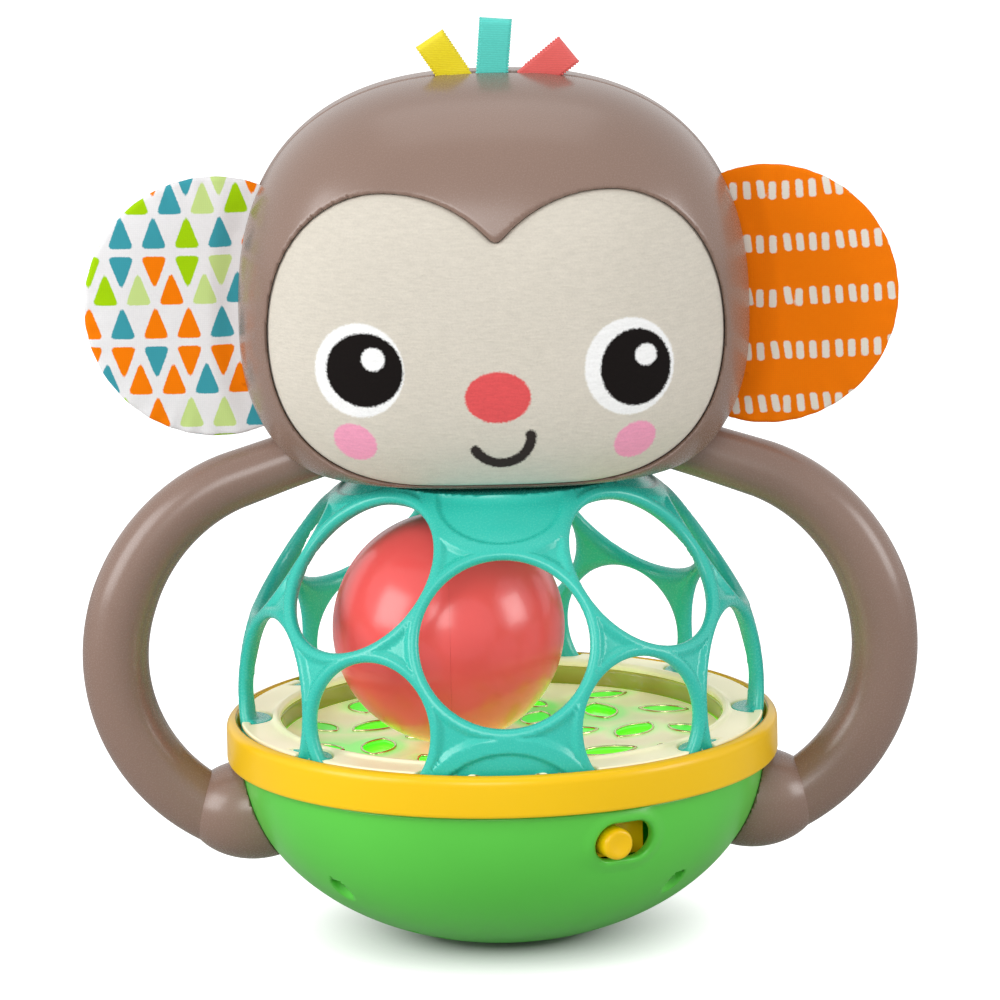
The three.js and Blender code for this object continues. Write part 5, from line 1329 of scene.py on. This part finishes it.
# Ribbons: three loops of 6 mm woven satin, folded double with their tails clamped in the seam.
# Picots, the small loops of weft, stand along both selvedges.
RIBBON_WIDTH = 5.8
RIBBON_HALF_GAUGE = 0.14
RIBBON_TAIL = 3.3
RIBBON_BEND = 2.5
LOOP_PINCH, LOOP_FOLD = 0.3, 0.85
PICOT_PITCH, PICOT_RADIUS = 0.6, 0.22
picot_sizes = {"Pitch": PICOT_PITCH / 1000, "Picot_radius": PICOT_RADIUS / 1000}
picot_tree, given, picot_names = node_tree(
    "picots_along_selvedge",
    [("Edge", "Geometry"), ("Pitch", "Float"), ("Picot radius", "Float"), ("Satin", "Material")],
)
line = put(picot_tree, "GeometryNodeMeshToCurve", ("Mesh", given["Edge"]))
steps = put(
    picot_tree, "GeometryNodeResampleCurve", ("Curve", line.outputs[0]), ("Length", given["Pitch"]), mode="LENGTH"
)
bead = put(picot_tree, "GeometryNodeMeshIcoSphere", ("Radius", given["Picot radius"]), ("Subdivisions", 2))
even = put(picot_tree, "GeometryNodeSetShadeSmooth", (0, bead.outputs[0]))
copies = put(
    picot_tree, "GeometryNodeInstanceOnPoints", ("Points", steps.outputs[0]), ("Instance", even.outputs[0])
)
tree_end(picot_tree, copies.outputs[0], given["Satin"])


def loop_line(length):
    """Section of a folded ribbon from tail to tail, as (depth, height) points."""
    rise = np.linspace(-RIBBON_TAIL, length - LOOP_FOLD, 40)
    spread = LOOP_PINCH + (LOOP_FOLD - LOOP_PINCH) * ramp(rise, 0, length - LOOP_FOLD)
    turn = np.linspace(0, math.pi, 14)[1:-1]
    fold = np.column_stack([-LOOP_FOLD * np.cos(turn), length - LOOP_FOLD + LOOP_FOLD * np.sin(turn)])
    return np.concatenate([np.column_stack([-spread, rise]), fold, np.column_stack([spread, rise])[::-1]])


def on_seam(path, aside, at, lean):
    """Points of a ribbon's section at a distance to one side of its middle."""
    (s, c), foot = leaning(lean), seam_height(at)
    depth, height = path.T
    return np.column_stack([at + aside * c - height * s, depth, foot + height * c + aside * s])


# Woven satin: a soft sheen along close threads, with a fine rib across the ribbon
for (word, at, lean, length), code in zip(RIBBONS, ("f7e000", "55d6c9", "ea625d")):
    satin, tree, shader, place = finish(f"woven_satin_{word}")
    thread = put(tree, "ShaderNodeTexNoise", ("Vector", place), ("Scale", 3000.0), ("Detail", 2.0))
    ribbing = ("ShaderNodeTexWave", ("Vector", place), ("Scale", 900.0), ("Distortion", 0.8))
    rib = put(tree, *ribbing, bands_direction="Z")
    blend = put(tree, "ShaderNodeMath", (0, thread.outputs[0]), (1, rib.outputs["Fac"]), operation="MULTIPLY")
    dark, light = shades(code, 0.92, 1.2)
    tint = put(tree, "ShaderNodeMix", (0, blend.outputs[0]), (6, dark), (7, light), data_type="RGBA")
    settle(shader, Base_Color=tint.outputs[2])
    settle(shader, Roughness=0.5, Sheen_Weight=0.3)
    relief = put(tree, "ShaderNodeBump", ("Strength", 0.4), ("Distance", 0.0001), ("Height", blend.outputs[0]))
    settle(shader, Normal=relief.outputs[0])
    line = loop_line(length)
    run = np.gradient(line, axis=0)
    run /= np.linalg.norm(run, axis=1)[:, None]
    away = RIBBON_HALF_GAUGE * np.column_stack([-run[:, 1], run[:, 0]])
    lanes = np.linspace(-0.5, 0.5, 13) * RIBBON_WIDTH
    rows = [on_seam(line + away, lane, at, lean) for lane in lanes]
    rows += [on_seam(line - away, lane, at, lean) for lane in lanes[::-1]]
    n, count = len(line), len(rows)
    faces = [
        (i * n + j, (i + 1) % count * n + j, (i + 1) % count * n + j + 1, i * n + j + 1)
        for i in range(count)
        for j in range(n - 1)
    ]
    faces.append([i * n for i in reversed(range(count))])
    faces.append([i * n + n - 1 for i in range(count)])
    loop = show(f"{word}_loop_satin", np.concatenate(rows), faces)
    edge = traced(f"{word}_edge", *[on_seam(line[9:-9], lane, at, lean) for lane in (lanes[0], lanes[-1])])
    picots = grown(f"{word}_picots", edge, picot_tree, picot_names, Satin=satin, **picot_sizes)
    s, c = leaning(lean)
    start = Vector((at, 0, seam_height(at))) / 1000
    end = start + RIBBON_BEND / 1000 * Vector((-s, 0, c))
    for thing in (loop, picots):
        thing.data.materials.clear()
        thing.data.materials.append(satin)
        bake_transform(thing)
    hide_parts(f"ribbon_{word}", f"ribbon_{word}_tail")
